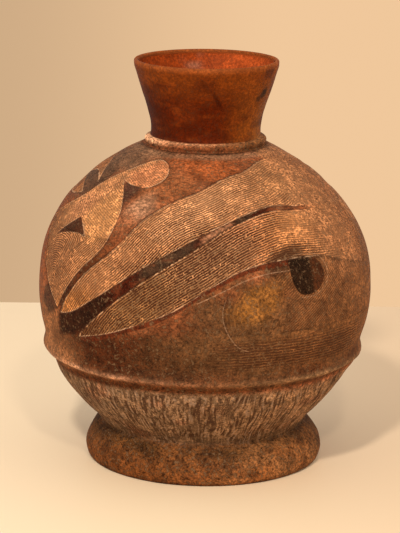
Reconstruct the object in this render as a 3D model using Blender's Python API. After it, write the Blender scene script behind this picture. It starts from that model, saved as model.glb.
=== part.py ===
"""Pottery vase: a hand-built globular jar on a flaring hollow foot, with a short flaring neck, a roll of
clay round the neck's base, a pressed-on ridge low on the bowl and cut-back hatched bands above it.

One fired piece, so one object. Metres, +Z up, the origin in the middle of the footprint, on the table.
"""
import math

import bmesh
import bpy
import numpy as np
from mathutils import Vector
from mathutils.geometry import delaunay_2d_cdt

# Heights, one above the other from the table to the lip
FOOT_HEIGHT = 0.0350
BODY_HEIGHT = 0.2500
COLLAR_HEIGHT = 0.0080
NECK_HEIGHT = 0.0670

# Outside radii
BASE_RADIUS = 0.1026
FOOT_RADIUS = 0.1069
WAIST_RADIUS = 0.0922
BODY_RADIUS = 0.1488
SHOULDER_RADIUS = 0.0562
COLLAR_RADIUS = 0.0540
NECK_RADIUS = 0.0484
MOUTH_RADIUS = 0.0643

# Walls
WALL = 0.0072
NECK_WALL = 0.0062
LIP_WALL = 0.0040
FOOT_WALL = 0.0120
FLOOR = 0.0100
FOOT_ROOF_DROP = 0.0065     # how far the foot's hollow stops below the waist

# The widest part of the bowl, above the waist
WIDEST_RISE = 0.1200

# The ridge: soft above, sharp below, and swelling into a low lug on the right
RIDGE_RISE = 0.0669         # its crest above the waist
RIDGE_PROUD = 0.0056
RIDGE_SOFT = 0.0079
RIDGE_SHARP = 0.0030
RIDGE_TILT = 0.0011
LUG_PROUD = 0.0036
LUG_DROP = 0.0076           # its middle below the ridge's crest
LUG_TALL = 0.0052
LUG_TURN = 86.0             # degrees round from the front
LUG_SPREAD = 13.0

# Cut-back bands of the decoration
RELIEF = 0.0008
BEVEL = 0.0016
BAND_STEP = 0.0080          # spacing of the points along an outline
FIELD_STEP = 0.0175         # spacing of the points between outlines
DECOR_LOW = 0.06            # shares of the way from the ridge up to the collar
DECOR_HIGH = 0.975

COLUMNS = 52
# (height share, how far the axis strays to the right there, in thousandths of the bowl's radius)
LEAN = ((0.00, 9.4), (0.05, 9.4), (0.13, -4.7), (0.20, -7.4), (0.30, -2.7), (0.40, 2.7),
        (0.50, 6.7), (0.60, 4.7), (0.70, -2.7), (0.76, -8.7), (0.80, 1.3), (1.00, 1.3))
WOBBLE = 0.0005

# Outlines as shares: (height, swell) of the bowl below and above its widest part
LOWER_BOWL = ((0.00, 0.00), (0.07, 0.10), (0.13, 0.23), (0.22, 0.40), (0.31, 0.55), (0.40, 0.67),
              (0.56, 0.80), (0.67, 0.877), (0.82, 0.963))
UPPER_BOWL = ((0.00, 1.000), (0.25, 0.970), (0.385, 0.911), (0.525, 0.812), (0.635, 0.703),
              (0.745, 0.554), (0.83, 0.414), (0.91, 0.237), (0.955, 0.126), (1.00, 0.000))
# (height, spread) of the foot above its widest part, and of the neck from its foot to the mouth
FOOT_FLARE = ((0.00, 1.00), (0.27, 0.89), (0.58, 0.62), (0.85, 0.29), (1.00, 0.00))
NECK_FLARE = ((0.00, 0.02), (0.15, 0.04), (0.38, 0.26), (0.60, 0.565), (0.80, 0.825), (0.92, 0.985))
FOOT_LIP = 0.0119           # height of the foot's widest part

# The engraved figure, in degrees round from the front and shares of the way from ridge to collar.
# Each outline is a list of strokes; a stroke is a smooth line and its ends are corners.
CRESTED_HEAD = (
    ((-59, 0.243), (-54.9, 0.315), (-47.4, 0.42), (-40.3, 0.508), (-37.6, 0.60), (-37.8, 0.674),
     (-42.0, 0.756), (-47.8, 0.82)),
    ((-47.8, 0.82), (-42.0, 0.803), (-34.1, 0.795), (-27.8, 0.805), (-22.4, 0.854), (-22.8, 0.903),
     (-27.8, 0.942), (-36.2, 0.955), (-44.5, 0.918), (-55.3, 0.839), (-62.4, 0.766), (-67.8, 0.698),
     (-79.9, 0.61), (-86.0, 0.57)),
    ((-86.0, 0.57), (-84.0, 0.52), (-77.0, 0.47), (-72.5, 0.39), (-67.5, 0.33), (-59, 0.243)),
)
HEAD_NOTCH = (
    ((-58, 0.615), (-54.0, 0.583), (-49.9, 0.54)),
    ((-49.9, 0.54), (-54.9, 0.5495), (-61.2, 0.54), (-70.3, 0.513)),
    ((-70.3, 0.513), (-64.9, 0.562), (-58, 0.615)),
)
UPPER_FEATHER = (
    ((-57, 0.2266), (-49.9, 0.25), (-42, 0.3035), (-34.9, 0.357), (-24.1, 0.445), (-10, 0.545), (4.7, 0.631),
     (18.4, 0.689), (30.0, 0.714), (45.0, 0.700)),
    ((45.0, 0.700), (62, 0.688), (80, 0.672), (98, 0.6786), (108.4, 0.705)),
    ((108.4, 0.705), (98, 0.742), (86, 0.768)),
    ((86, 0.768), (98, 0.812), (108, 0.798), (115.0, 0.766)),
    ((115.0, 0.766), (108, 0.822), (98, 0.876), (75, 0.922), (45.8, 0.951), (24.7, 0.895), (11, 0.8616),
     (-3.7, 0.788), (-15, 0.7355), (-24.5, 0.659), (-34.9, 0.513), (-45.75, 0.396), (-53.7, 0.289),
     (-57, 0.2266)),
)
LOWER_FEATHER = (
    ((-47.4, 0.155), (-36.2, 0.1867), (-23.7, 0.24), (-10, 0.311), (1.6, 0.40), (14.7, 0.471),
     (30, 0.4956), (44, 0.492)),
    ((44, 0.492), (58, 0.45), (71.3, 0.415)),
    ((71.3, 0.415), (75.5, 0.53), (79.6, 0.648)),
    ((79.6, 0.648), (62, 0.668), (45, 0.680)),
    ((45, 0.680), (30, 0.692), (20, 0.671), (8.9, 0.625), (-5, 0.5325), (-20, 0.4205), (-32, 0.313),
     (-39.9, 0.235), (-47.4, 0.155)),
)
BACK_TURN = 180.0           # the figure comes twice round the jar


def curve_through(points, pieces=16):
    """Centripetal Catmull-Rom curve through the points, with a number of pieces between each two."""
    points = np.asarray(points, float)
    padded = np.vstack([2 * points[0] - points[1], points, 2 * points[-1] - points[-2]])
    run = []
    for p0, p1, p2, p3 in zip(padded, padded[1:], padded[2:], padded[3:]):
        t1 = math.sqrt(np.linalg.norm(p1 - p0))
        t2 = t1 + math.sqrt(np.linalg.norm(p2 - p1))
        t3 = t2 + math.sqrt(np.linalg.norm(p3 - p2))
        t = np.linspace(t1, t2, pieces, endpoint=False)[:, None]
        a1 = (t1 - t) / t1 * p0 + t / t1 * p1
        a2 = (t2 - t) / (t2 - t1) * p1 + (t - t1) / (t2 - t1) * p2
        a3 = (t3 - t) / (t3 - t2) * p2 + (t - t2) / (t3 - t2) * p3
        b1 = (t2 - t) / t2 * a1 + t / t2 * a2
        b2 = (t3 - t) / (t3 - t1) * a2 + (t - t1) / (t3 - t1) * a3
        run.append((t2 - t) / (t2 - t1) * b1 + (t - t1) / (t2 - t1) * b2)
    return np.vstack(run + [points[-1:]])


def lengths_along(line):
    """Distance from the first point of a line to each of its points."""
    return np.concatenate([[0.0], np.cumsum(np.linalg.norm(np.diff(line, axis=0), axis=1))])


def evenly(line, count):
    """The line again, as a number of points at equal distances along it."""
    along = lengths_along(line)
    places = np.linspace(0.0, along[-1], count)
    return np.stack([np.interp(places, along, line[:, k]) for k in range(2)], axis=1)


def bowl_line():
    """Outside of the bowl as (radius, height), from the waist up to the collar."""
    low = [(WAIST_RADIUS + swell * (BODY_RADIUS - WAIST_RADIUS), FOOT_HEIGHT + rise * WIDEST_RISE)
           for rise, swell in LOWER_BOWL]
    high = [(SHOULDER_RADIUS + swell * (BODY_RADIUS - SHOULDER_RADIUS),
             FOOT_HEIGHT + WIDEST_RISE + rise * (BODY_HEIGHT - WIDEST_RISE)) for rise, swell in UPPER_BOWL]
    return curve_through(low + high)


def foot_line():
    """Outside of the foot, from its flat ring up to the waist."""
    flare = [(WAIST_RADIUS + spread * (FOOT_RADIUS - WAIST_RADIUS), FOOT_LIP + rise * (FOOT_HEIGHT - FOOT_LIP))
             for rise, spread in FOOT_FLARE]
    slope = FOOT_RADIUS - BASE_RADIUS
    lip = [(BASE_RADIUS, 0.0), (BASE_RADIUS + 0.46 * slope, 0.12 * FOOT_LIP),
           (BASE_RADIUS + 0.72 * slope, 0.34 * FOOT_LIP), (BASE_RADIUS + 0.95 * slope, 0.67 * FOOT_LIP)]
    return curve_through(lip + flare, 6)


def collar_line():
    """The roll of clay round the base of the neck: an undercut, a round crest and the neck's foot."""
    base = FOOT_HEIGHT + BODY_HEIGHT
    shape = [(-0.11, 0.05), (0.0, 0.4), (-0.05, 0.7), (-0.275, 0.9)]
    roll = [(COLLAR_RADIUS + out * COLLAR_HEIGHT, base + rise * COLLAR_HEIGHT) for out, rise in shape]
    return np.array(roll + [(NECK_RADIUS + 0.06 * COLLAR_HEIGHT, base + COLLAR_HEIGHT)])


def neck_line():
    """Outside of the neck, from the collar up to just under the lip."""
    base = FOOT_HEIGHT + BODY_HEIGHT + COLLAR_HEIGHT
    return curve_through([(NECK_RADIUS + flare * (MOUTH_RADIUS - NECK_RADIUS), base + rise * NECK_HEIGHT)
                          for rise, flare in NECK_FLARE], 6)


def lip_line(steps=5):
    """The round lip, over the top from the outside to the inside of the mouth."""
    half = LIP_WALL / 2
    top = FOOT_HEIGHT + BODY_HEIGHT + COLLAR_HEIGHT + NECK_HEIGHT
    turn = np.linspace(0.0, math.pi, steps)
    return np.stack([MOUTH_RADIUS - half + half * np.cos(turn), top - half + half * np.sin(turn)], axis=1)


def inside_of(line, wall):
    """A line moved inwards by the wall, square to itself."""
    run = np.gradient(line, axis=0)
    normal = np.stack([-run[:, 1], run[:, 0]], axis=1)
    return line + normal / np.linalg.norm(normal, axis=1, keepdims=True) * np.asarray(wall)


def inner_line():
    """Inside of the jar, from under the lip down the neck and the bowl to the middle of the floor."""
    neck = neck_line()
    walls = np.interp(neck[:, 1], [neck[0, 1], neck[-1, 1]], [NECK_WALL, LIP_WALL])
    neck = evenly(inside_of(neck, walls[:, None]), 6)
    bowl = inside_of(bowl_line(), WALL)
    floor_middle = FOOT_HEIGHT - FOOT_ROOF_DROP + FLOOR
    under_collar = SHOULDER_RADIUS - WALL / 2
    lowest = FOOT_HEIGHT + 0.6 * FLOOR + WALL
    bowl = evenly(bowl[(bowl[:, 1] > lowest) & (bowl[:, 0] > under_collar)], 13)
    edge = bowl[0]
    share = np.array([0.84, 0.55, 0.25])
    dish = np.stack([edge[0] * share, floor_middle + (edge[1] - floor_middle) * share ** 3], axis=1)
    return np.vstack([neck[::-1], bowl[::-1], dish, [[0.0, floor_middle]]])


def foot_hollow_line():
    """Underside of the foot, from the inner edge of its flat ring up to the middle of the hollow."""
    edge = BASE_RADIUS - FOOT_WALL
    roof = FOOT_HEIGHT - FOOT_ROOF_DROP
    rise = np.array([0.0, 0.28, 0.62, 0.86, 0.97])
    narrowing = np.array([1.0, 0.96, 0.87, 0.66, 0.34])
    return np.vstack([np.stack([edge * narrowing, roof * rise], axis=1), [[0.0, roof]]])


BOWL = bowl_line()
BOWL_ALONG = lengths_along(BOWL)
RIDGE_HEIGHT = FOOT_HEIGHT + RIDGE_RISE
LOWER_HALF = BOWL[:, 1] < FOOT_HEIGHT + WIDEST_RISE
RIDGE_ALONG = float(np.interp(RIDGE_HEIGHT, BOWL[LOWER_HALF, 1], BOWL_ALONG[LOWER_HALF]))
DECOR_LENGTH = BOWL_ALONG[-1] - RIDGE_ALONG


def bowl_at(share):
    """Radius and height of the bowl at a share of the way from the ridge up to the collar."""
    along = RIDGE_ALONG + np.asarray(share) * DECOR_LENGTH
    return np.interp(along, BOWL_ALONG, BOWL[:, 0]), np.interp(along, BOWL_ALONG, BOWL[:, 1])


def ridge_swell(turn, height):
    """How far the ridge and its lug stand out from the bowl."""
    above = height - (RIDGE_HEIGHT - RIDGE_TILT * np.sin(turn))
    reach = np.where(above > 0, RIDGE_SOFT, RIDGE_SHARP)
    swell = RIDGE_PROUD * np.exp(-(above / reach) ** 2)
    round_lug = (np.degrees(turn) - LUG_TURN + 180.0) % 360.0 - 180.0
    lug = np.exp(-(round_lug / LUG_SPREAD) ** 2 - ((above + LUG_DROP) / LUG_TALL) ** 2)
    return swell + LUG_PROUD * lug


def place(turn, radius, height):
    """Points on the jar, turned from the front, with the slight lean and wobble of hand building."""
    whole = FOOT_HEIGHT + BODY_HEIGHT + COLLAR_HEIGHT + NECK_HEIGHT
    strays = np.interp(height / whole, [share for share, _ in LEAN], [stray for _, stray in LEAN])
    sideways = strays / 1000.0 * BODY_RADIUS
    uneven = WOBBLE * np.sin(math.pi * height / whole) * np.sin(3 * turn + 9 * height / whole)
    radius = radius + np.where(radius > NECK_RADIUS / 2, uneven, 0.0)
    return np.stack([radius * np.sin(turn) + sideways, -radius * np.cos(turn), height], axis=-1)


def rows_of(line):
    """Rings of points for a profile, one row for each of its points."""
    turn = np.radians(np.arange(COLUMNS) * 360.0 / COLUMNS)
    radius, height = line[:, 0][:, None], line[:, 1][:, None]
    return turn[None, :], radius + 0.0 * turn, height + 0.0 * turn


def closed_outline(strokes):
    """A motif's outline as (degrees, share) points about BAND_STEP apart on the clay."""
    loop = []
    for stroke in strokes:
        smooth = curve_through(np.array(stroke) * (1.0, 100.0), 24) / (1.0, 100.0)
        radius = bowl_at(smooth[:, 1])[0]
        clay = np.stack([np.cumsum(np.gradient(np.radians(smooth[:, 0])) * radius),
                         smooth[:, 1] * DECOR_LENGTH], axis=1)
        along = lengths_along(clay)
        count = max(2, int(round(along[-1] / BAND_STEP)))
        places = np.linspace(0.0, along[-1], count, endpoint=False)
        loop.append(np.stack([np.interp(places, along, smooth[:, k]) for k in range(2)], axis=1))
    return np.vstack(loop)


def to_edge(points, loop):
    """Distance on the clay from each (degrees, share) point to a closed outline, and whether it is inside."""
    turned = points.copy()
    middle = loop[:, 0].mean()
    turned[:, 0] = (turned[:, 0] - middle + 180.0) % 360.0 - 180.0 + middle
    scale = np.stack([np.radians(1.0) * bowl_at(turned[:, 1])[0], np.full(len(turned), DECOR_LENGTH)], axis=1)
    start, end = loop, np.roll(loop, -1, axis=0)
    a = (start[None] - turned[:, None]) * scale[:, None]
    b = (end[None] - turned[:, None]) * scale[:, None]
    run = b - a
    t = np.clip(-(a * run).sum(-1) / np.maximum((run * run).sum(-1), 1e-18), 0.0, 1.0)
    distance = np.linalg.norm(a + t[..., None] * run, axis=-1).min(axis=1)
    above = (start[None, :, 1] > turned[:, None, 1]) != (end[None, :, 1] > turned[:, None, 1])
    rise = np.where(above, end[None, :, 1] - start[None, :, 1], 1.0)
    cross = start[None, :, 0] + (turned[:, None, 1] - start[None, :, 1]) / rise \
        * (end[None, :, 0] - start[None, :, 0])
    inside = (above & (cross > turned[:, None, 0])).sum(axis=1) % 2 == 1
    return distance, inside


def figure():
    """Outlines of the cut-back bands, and of the uncut notch in the crested head, twice round the jar."""
    cut, kept = [], []
    for turn in (0.0, BACK_TURN):
        for strokes in (CRESTED_HEAD, UPPER_FEATHER, LOWER_FEATHER):
            cut.append(closed_outline(strokes) + (turn, 0.0))
        kept.append(closed_outline(HEAD_NOTCH) + (turn, 0.0))
    return cut, kept


def cut_depth(points, cut, kept):
    """Depth of the cut-back at each point: RELIEF inside a band, none at its edge, with a short slope."""
    depth = np.zeros(len(points))
    for loop in cut:
        distance, inside = to_edge(points, loop)
        depth = np.maximum(depth, np.where(inside, np.minimum(distance / BEVEL, 1.0), 0.0))
    for loop in kept:
        distance, inside = to_edge(points, loop)
        depth = np.where(inside, 0.0, depth * np.minimum(distance / BEVEL, 1.0))
    return RELIEF * depth


def bevel_points(loop, side):
    """Points one BEVEL inside or outside an outline, left out where the band is too narrow for them."""
    scale = np.stack([np.radians(1.0) * bowl_at(loop[:, 1])[0], np.full(len(loop), DECOR_LENGTH)], axis=1)
    run = (np.roll(loop, -1, axis=0) - np.roll(loop, 1, axis=0)) * scale
    square = np.stack([-run[:, 1], run[:, 0]], axis=1) / np.linalg.norm(run, axis=1, keepdims=True)
    choices = [loop + sign * BEVEL * square / scale for sign in (1.0, -1.0)]
    points = []
    for choice in choices:
        distance, inside = to_edge(choice, loop)
        points.append(choice[(inside == side) & (distance > 0.9 * BEVEL)])
    return np.vstack(points)


def field_points(loops):
    """A loose honeycomb of points over the decorated band, kept clear of the outlines."""
    share_step = FIELD_STEP / DECOR_LENGTH
    found = []
    share = DECOR_LOW + share_step
    odd = 0
    while share < DECOR_HIGH - 0.6 * share_step:
        around = max(12, int(2 * math.pi * bowl_at(share)[0] / FIELD_STEP))
        degrees = (np.arange(around) + 0.5 * odd) * 360.0 / around - 180.0
        found.append(np.stack([degrees, np.full(around, share)], axis=1))
        share += share_step
        odd = 1 - odd
    found = np.vstack(found)
    for loop in loops:
        found = found[to_edge(found, loop)[0] > 0.45 * FIELD_STEP]
    return found


def on_disc(points):
    """The decorated band laid out flat as a ring: the collar inside, the ridge outside."""
    turn = np.radians(points[:, 0])
    reach = SHOULDER_RADIUS + (1.0 - points[:, 1]) * DECOR_LENGTH
    return np.stack([reach * np.sin(turn), -reach * np.cos(turn)], axis=1)


def off_disc(flat):
    """Degrees and shares of points laid out by on_disc."""
    reach = np.linalg.norm(flat, axis=1)
    degrees = np.degrees(np.arctan2(flat[:, 0], -flat[:, 1]))
    return np.stack([degrees, 1.0 - (reach - SHOULDER_RADIUS) / DECOR_LENGTH], axis=1)


def decorated_band():
    """Triangles of the decorated band, its outlines being edges of the mesh, as points in space."""
    cut, kept = figure()
    degrees = np.arange(COLUMNS) * 360.0 / COLUMNS
    rims = [np.stack([degrees, np.full(COLUMNS, share)], axis=1) for share in (DECOR_LOW, DECOR_HIGH)]
    loops = rims + cut + kept
    bevels = [bevel_points(loop, True) for loop in cut] + [bevel_points(loop, False) for loop in kept]
    spare = np.vstack([field_points(cut + kept)] + bevels)
    spare = spare[(spare[:, 1] > DECOR_LOW + 0.01) & (spare[:, 1] < DECOR_HIGH - 0.01)]
    corners, edges = [], []
    for loop in loops:
        first = len(corners)
        corners.extend(on_disc(loop).tolist())
        edges.extend((first + k, first + (k + 1) % len(loop)) for k in range(len(loop)))
    corners.extend(on_disc(spare).tolist())
    found = delaunay_2d_cdt([Vector(corner) for corner in corners], edges, [], 0, 1e-6)
    flat = np.array([tuple(corner) for corner in found[0]])
    faces = np.array([tuple(face) for face in found[2]])
    hole = SHOULDER_RADIUS + (1.0 - DECOR_HIGH) * DECOR_LENGTH
    middle = np.linalg.norm(flat[faces].mean(axis=1), axis=1)
    faces = faces[middle > hole * math.cos(math.pi / COLUMNS)]
    spots = off_disc(flat)
    radius, height = bowl_at(spots[:, 1])
    turn = np.radians(spots[:, 0])
    radius = radius + ridge_swell(turn, height) - cut_depth(spots, cut, kept)
    return place(turn, radius, height), faces


def ring_faces(rows, columns):
    """Quads between neighbouring rings, numbered row by row."""
    row, column = np.meshgrid(np.arange(rows - 1), np.arange(columns), indexing="ij")
    across = (column + 1) % columns
    quads = [row * columns + column, row * columns + across, (row + 1) * columns + across,
             (row + 1) * columns + column]
    return np.stack(quads, axis=-1).reshape(-1, 4)


def jar_mesh():
    """The whole jar as one closed mesh."""
    low_shares = np.array([-0.365, -0.31, -0.25, -0.19, -0.13, -0.08, -0.045, -0.022, -0.011, 0.0,
                           0.012, 0.028, 0.045])
    low_shares[0] = -RIDGE_ALONG / DECOR_LENGTH
    ridge_rows = np.stack(bowl_at(np.append(low_shares, DECOR_LOW)), axis=1)
    outside_low = np.vstack([evenly(foot_line(), 9)[:-1], ridge_rows])
    top_rows = np.vstack([np.stack(bowl_at(np.array([DECOR_HIGH, 0.99])), axis=1), collar_line(),
                          evenly(neck_line(), 8)[1:], lip_line(), inner_line()[1:]])
    work = bmesh.new()

    def add(points, faces):
        corners = [work.verts.new(point) for point in points]
        for face in faces:
            work.faces.new([corners[k] for k in face])

    def add_rows(line, swell):
        turn, radius, height = rows_of(line)
        if swell:
            radius = radius + ridge_swell(turn, height)
        rows = place(turn, radius, height).reshape(-1, 3)
        add(rows, ring_faces(len(line), COLUMNS))

    def add_pole(last, middle):
        turn, radius, height = rows_of(last[None, :])
        ring = place(turn, radius, height).reshape(-1, 3)
        tip = place(np.zeros(1), np.zeros(1), np.array([middle]))
        fan = [(k, (k + 1) % COLUMNS, COLUMNS) for k in range(COLUMNS)]
        add(np.vstack([ring, tip]), fan)

    hollow = foot_hollow_line()
    add_rows(np.vstack([hollow[-2::-1], foot_line()[:1]]), False)
    add_pole(hollow[-2], hollow[-1, 1])
    add_rows(outside_low, True)
    add(*decorated_band())
    add_rows(top_rows[:-1], False)
    add_pole(top_rows[-2], top_rows[-1, 1])
    bmesh.ops.remove_doubles(work, verts=work.verts, dist=0.00002)
    bmesh.ops.triangulate(work, faces=work.faces, quad_method="SHORT_EDGE")
    bmesh.ops.recalc_face_normals(work, faces=work.faces)
    mesh = bpy.data.meshes.new("pottery_vase")
    work.to_mesh(mesh)
    work.free()
    return mesh


def centre_on_footprint(mesh):
    """Moves the mesh so that its box is centred on the origin, seen from above."""
    spots = np.empty(len(mesh.vertices) * 3)
    mesh.vertices.foreach_get("co", spots)
    spots = spots.reshape(-1, 3)
    spots[:, :2] -= (spots[:, :2].max(axis=0) + spots[:, :2].min(axis=0)) / 2
    mesh.vertices.foreach_set("co", spots.ravel())
    mesh.update()


def fired_clay():
    """Red-brown burnished earthenware."""
    material = bpy.data.materials.new("fired_clay")
    material.use_nodes = True
    shader = material.node_tree.nodes["Principled BSDF"]
    shader.inputs["Base Color"].default_value = (0.245, 0.088, 0.034, 1.0)
    shader.inputs["Roughness"].default_value = 0.62
    shader.inputs["Metallic"].default_value = 0.0
    return material


def build():
    for old in list(bpy.data.objects):
        bpy.data.objects.remove(old, do_unlink=True)
    mesh = jar_mesh()
    centre_on_footprint(mesh)
    mesh.materials.append(fired_clay())
    mesh.shade_smooth()
    mesh.set_sharp_from_angle(angle=math.radians(38))
    jar = bpy.data.objects.new("pottery_vase", mesh)
    bpy.context.scene.collection.objects.link(jar)
    print("triangles", len(mesh.polygons))


build()
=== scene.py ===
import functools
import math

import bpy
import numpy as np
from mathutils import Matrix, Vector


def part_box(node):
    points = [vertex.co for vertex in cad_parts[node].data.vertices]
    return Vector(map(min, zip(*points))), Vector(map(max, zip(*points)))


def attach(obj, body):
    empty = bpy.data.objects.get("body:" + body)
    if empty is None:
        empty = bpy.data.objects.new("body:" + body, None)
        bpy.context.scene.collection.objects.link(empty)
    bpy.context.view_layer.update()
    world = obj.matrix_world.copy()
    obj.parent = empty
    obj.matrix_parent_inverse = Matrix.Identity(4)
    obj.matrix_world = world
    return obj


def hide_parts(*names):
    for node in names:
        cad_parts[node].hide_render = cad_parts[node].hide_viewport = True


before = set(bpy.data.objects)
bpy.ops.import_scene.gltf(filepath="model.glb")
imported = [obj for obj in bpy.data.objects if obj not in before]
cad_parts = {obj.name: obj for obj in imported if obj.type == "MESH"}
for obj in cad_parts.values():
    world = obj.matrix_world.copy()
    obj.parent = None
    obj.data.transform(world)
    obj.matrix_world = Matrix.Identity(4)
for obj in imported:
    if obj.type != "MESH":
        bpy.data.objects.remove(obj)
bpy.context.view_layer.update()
# %% [markdown]
# # A pottery vase, fired and slipped
# The real jar is one piece of hand-built earthenware: a globular bowl on a flaring hollow foot, a short neck,
# a roll of clay round the neck's base and a pressed-on ridge low on the bowl. Above the ridge, bands in the
# shape of feathers are cut back by less than a millimetre and hatched with a point; between them the clay
# keeps its dark red slip. The plain CAD solid already has the form. Here the same surface is made again as a
# finer skin that carries the finish, so this lesson is mostly about painting with distances.

cad_low, cad_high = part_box("pottery_vase")
print("CAD box", [round(v, 4) for v in cad_low], [round(v, 4) for v in cad_high])

# %% [markdown]
# ## The jar's sizes
# A potter would keep these as a few marks on a stick: heights one above the other, and how wide the jar is at
# each of them. They are the sizes of the CAD solid, in metres, so that the skin lies where the solid does.

# %% Sizes
FOOT_HEIGHT, BODY_HEIGHT, COLLAR_HEIGHT, NECK_HEIGHT = 0.0350, 0.2500, 0.0080, 0.0670
WHOLE_HEIGHT = FOOT_HEIGHT + BODY_HEIGHT + COLLAR_HEIGHT + NECK_HEIGHT
BASE_RADIUS, FOOT_RADIUS, WAIST_RADIUS = 0.1026, 0.1069, 0.0922
BODY_RADIUS, SHOULDER_RADIUS, COLLAR_RADIUS = 0.1488, 0.0562, 0.0540
NECK_RADIUS, MOUTH_RADIUS = 0.0484, 0.0643
WALL, NECK_WALL, LIP_WALL, FOOT_WALL, FLOOR = 0.0072, 0.0062, 0.0040, 0.0120, 0.0100
FOOT_ROOF_DROP, WIDEST_RISE, FOOT_LIP = 0.0065, 0.1200, 0.0119
RIDGE_RISE, RIDGE_PROUD, RIDGE_SOFT, RIDGE_SHARP, RIDGE_TILT = 0.0669, 0.0056, 0.0079, 0.0030, 0.0011
LUG_PROUD, LUG_DROP, LUG_TALL, LUG_TURN, LUG_SPREAD = 0.0036, 0.0076, 0.0052, 86.0, 13.0
RELIEF, BEVEL, WOBBLE = 0.0008, 0.0016, 0.0005
LEAN = ((0.00, 0.0014), (0.05, 0.0014), (0.13, -0.0007), (0.20, -0.0011), (0.30, -0.0004), (0.40, 0.0004),
        (0.50, 0.0010), (0.60, 0.0007), (0.70, -0.0004), (0.76, -0.0013), (0.80, 0.0002), (1.00, 0.0002))
# Outlines as shares: (height, swell) of the bowl, (height, spread) of the foot and the neck
LOWER_BOWL = ((0.00, 0.00), (0.07, 0.10), (0.13, 0.23), (0.22, 0.40), (0.31, 0.55), (0.40, 0.67),
              (0.56, 0.80), (0.67, 0.877), (0.82, 0.963))
UPPER_BOWL = ((0.00, 1.000), (0.25, 0.970), (0.385, 0.911), (0.525, 0.812), (0.635, 0.703),
              (0.745, 0.554), (0.83, 0.414), (0.91, 0.237), (0.955, 0.126), (1.00, 0.000))
FOOT_FLARE = ((0.00, 1.00), (0.27, 0.89), (0.58, 0.62), (0.85, 0.29), (1.00, 0.00))
NECK_FLARE = ((0.00, 0.02), (0.15, 0.04), (0.38, 0.26), (0.60, 0.565), (0.80, 0.825), (0.92, 0.985))
print("height", WHOLE_HEIGHT)

# %% [markdown]
# ## The profile
# A jar is a profile carried round an axis, but a hand-built one is never quite true, so a lathe tool alone
# would look machine-made. The profile is drawn here as a smooth curve through few points, and the turning is
# done with arrays, which leaves every point free to be pushed about afterwards.

# %% Curves and lengths
def curve_through(points, pieces=16):
    """Centripetal Catmull-Rom curve: between two points, a blend of lines weighted by root chord lengths."""
    points = np.asarray(points, float)
    padded = np.vstack([2 * points[0] - points[1], points, 2 * points[-1] - points[-2]])
    run = []
    for p0, p1, p2, p3 in zip(padded, padded[1:], padded[2:], padded[3:]):
        t1 = math.sqrt(np.linalg.norm(p1 - p0))
        t2 = t1 + math.sqrt(np.linalg.norm(p2 - p1))
        t3 = t2 + math.sqrt(np.linalg.norm(p3 - p2))
        t = np.linspace(t1, t2, pieces, endpoint=False)[:, None]
        a1 = (t1 - t) / t1 * p0 + t / t1 * p1
        a2 = (t2 - t) / (t2 - t1) * p1 + (t - t1) / (t2 - t1) * p2
        a3 = (t3 - t) / (t3 - t2) * p2 + (t - t2) / (t3 - t2) * p3
        b1 = (t2 - t) / t2 * a1 + t / t2 * a2
        b2 = (t3 - t) / (t3 - t1) * a2 + (t - t1) / (t3 - t1) * a3
        run.append((t2 - t) / (t2 - t1) * b1 + (t - t1) / (t2 - t1) * b2)
    return np.vstack(run + [points[-1:]])


def lengths_along(line):
    """Distance from the first point of a line to each of its points."""
    return np.concatenate([[0.0], np.cumsum(np.linalg.norm(np.diff(line, axis=0), axis=1))])


def evenly(line, count):
    """The line again, as a number of points at equal distances along it."""
    along = lengths_along(line)
    places = np.linspace(0.0, along[-1], count)
    return np.stack([np.interp(places, along, line[:, k]) for k in range(2)], axis=1)


def inside_of(line, wall):
    """A line moved inwards by the wall, square to itself."""
    run = np.gradient(line, axis=0)
    normal = np.stack([-run[:, 1], run[:, 0]], axis=1)
    return line + normal / np.linalg.norm(normal, axis=1, keepdims=True) * np.asarray(wall)


# %% The outside profile, from the foot up to the lip
low_bowl = [(WAIST_RADIUS + swell * (BODY_RADIUS - WAIST_RADIUS), FOOT_HEIGHT + rise * WIDEST_RISE)
            for rise, swell in LOWER_BOWL]
high_bowl = [(SHOULDER_RADIUS + swell * (BODY_RADIUS - SHOULDER_RADIUS),
              FOOT_HEIGHT + WIDEST_RISE + rise * (BODY_HEIGHT - WIDEST_RISE)) for rise, swell in UPPER_BOWL]
BOWL = curve_through(low_bowl + high_bowl)
BOWL_ALONG = lengths_along(BOWL)
RIDGE_HEIGHT = FOOT_HEIGHT + RIDGE_RISE
below_widest = BOWL[:, 1] < FOOT_HEIGHT + WIDEST_RISE
RIDGE_ALONG = float(np.interp(RIDGE_HEIGHT, BOWL[below_widest, 1], BOWL_ALONG[below_widest]))
DECOR_LENGTH = float(BOWL_ALONG[-1] - RIDGE_ALONG)


def bowl_at(share):
    """Radius and height of the bowl at a share of the way from the ridge (0) up to the collar (1)."""
    along = RIDGE_ALONG + np.asarray(share) * DECOR_LENGTH
    return np.interp(along, BOWL_ALONG, BOWL[:, 0]), np.interp(along, BOWL_ALONG, BOWL[:, 1])


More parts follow.
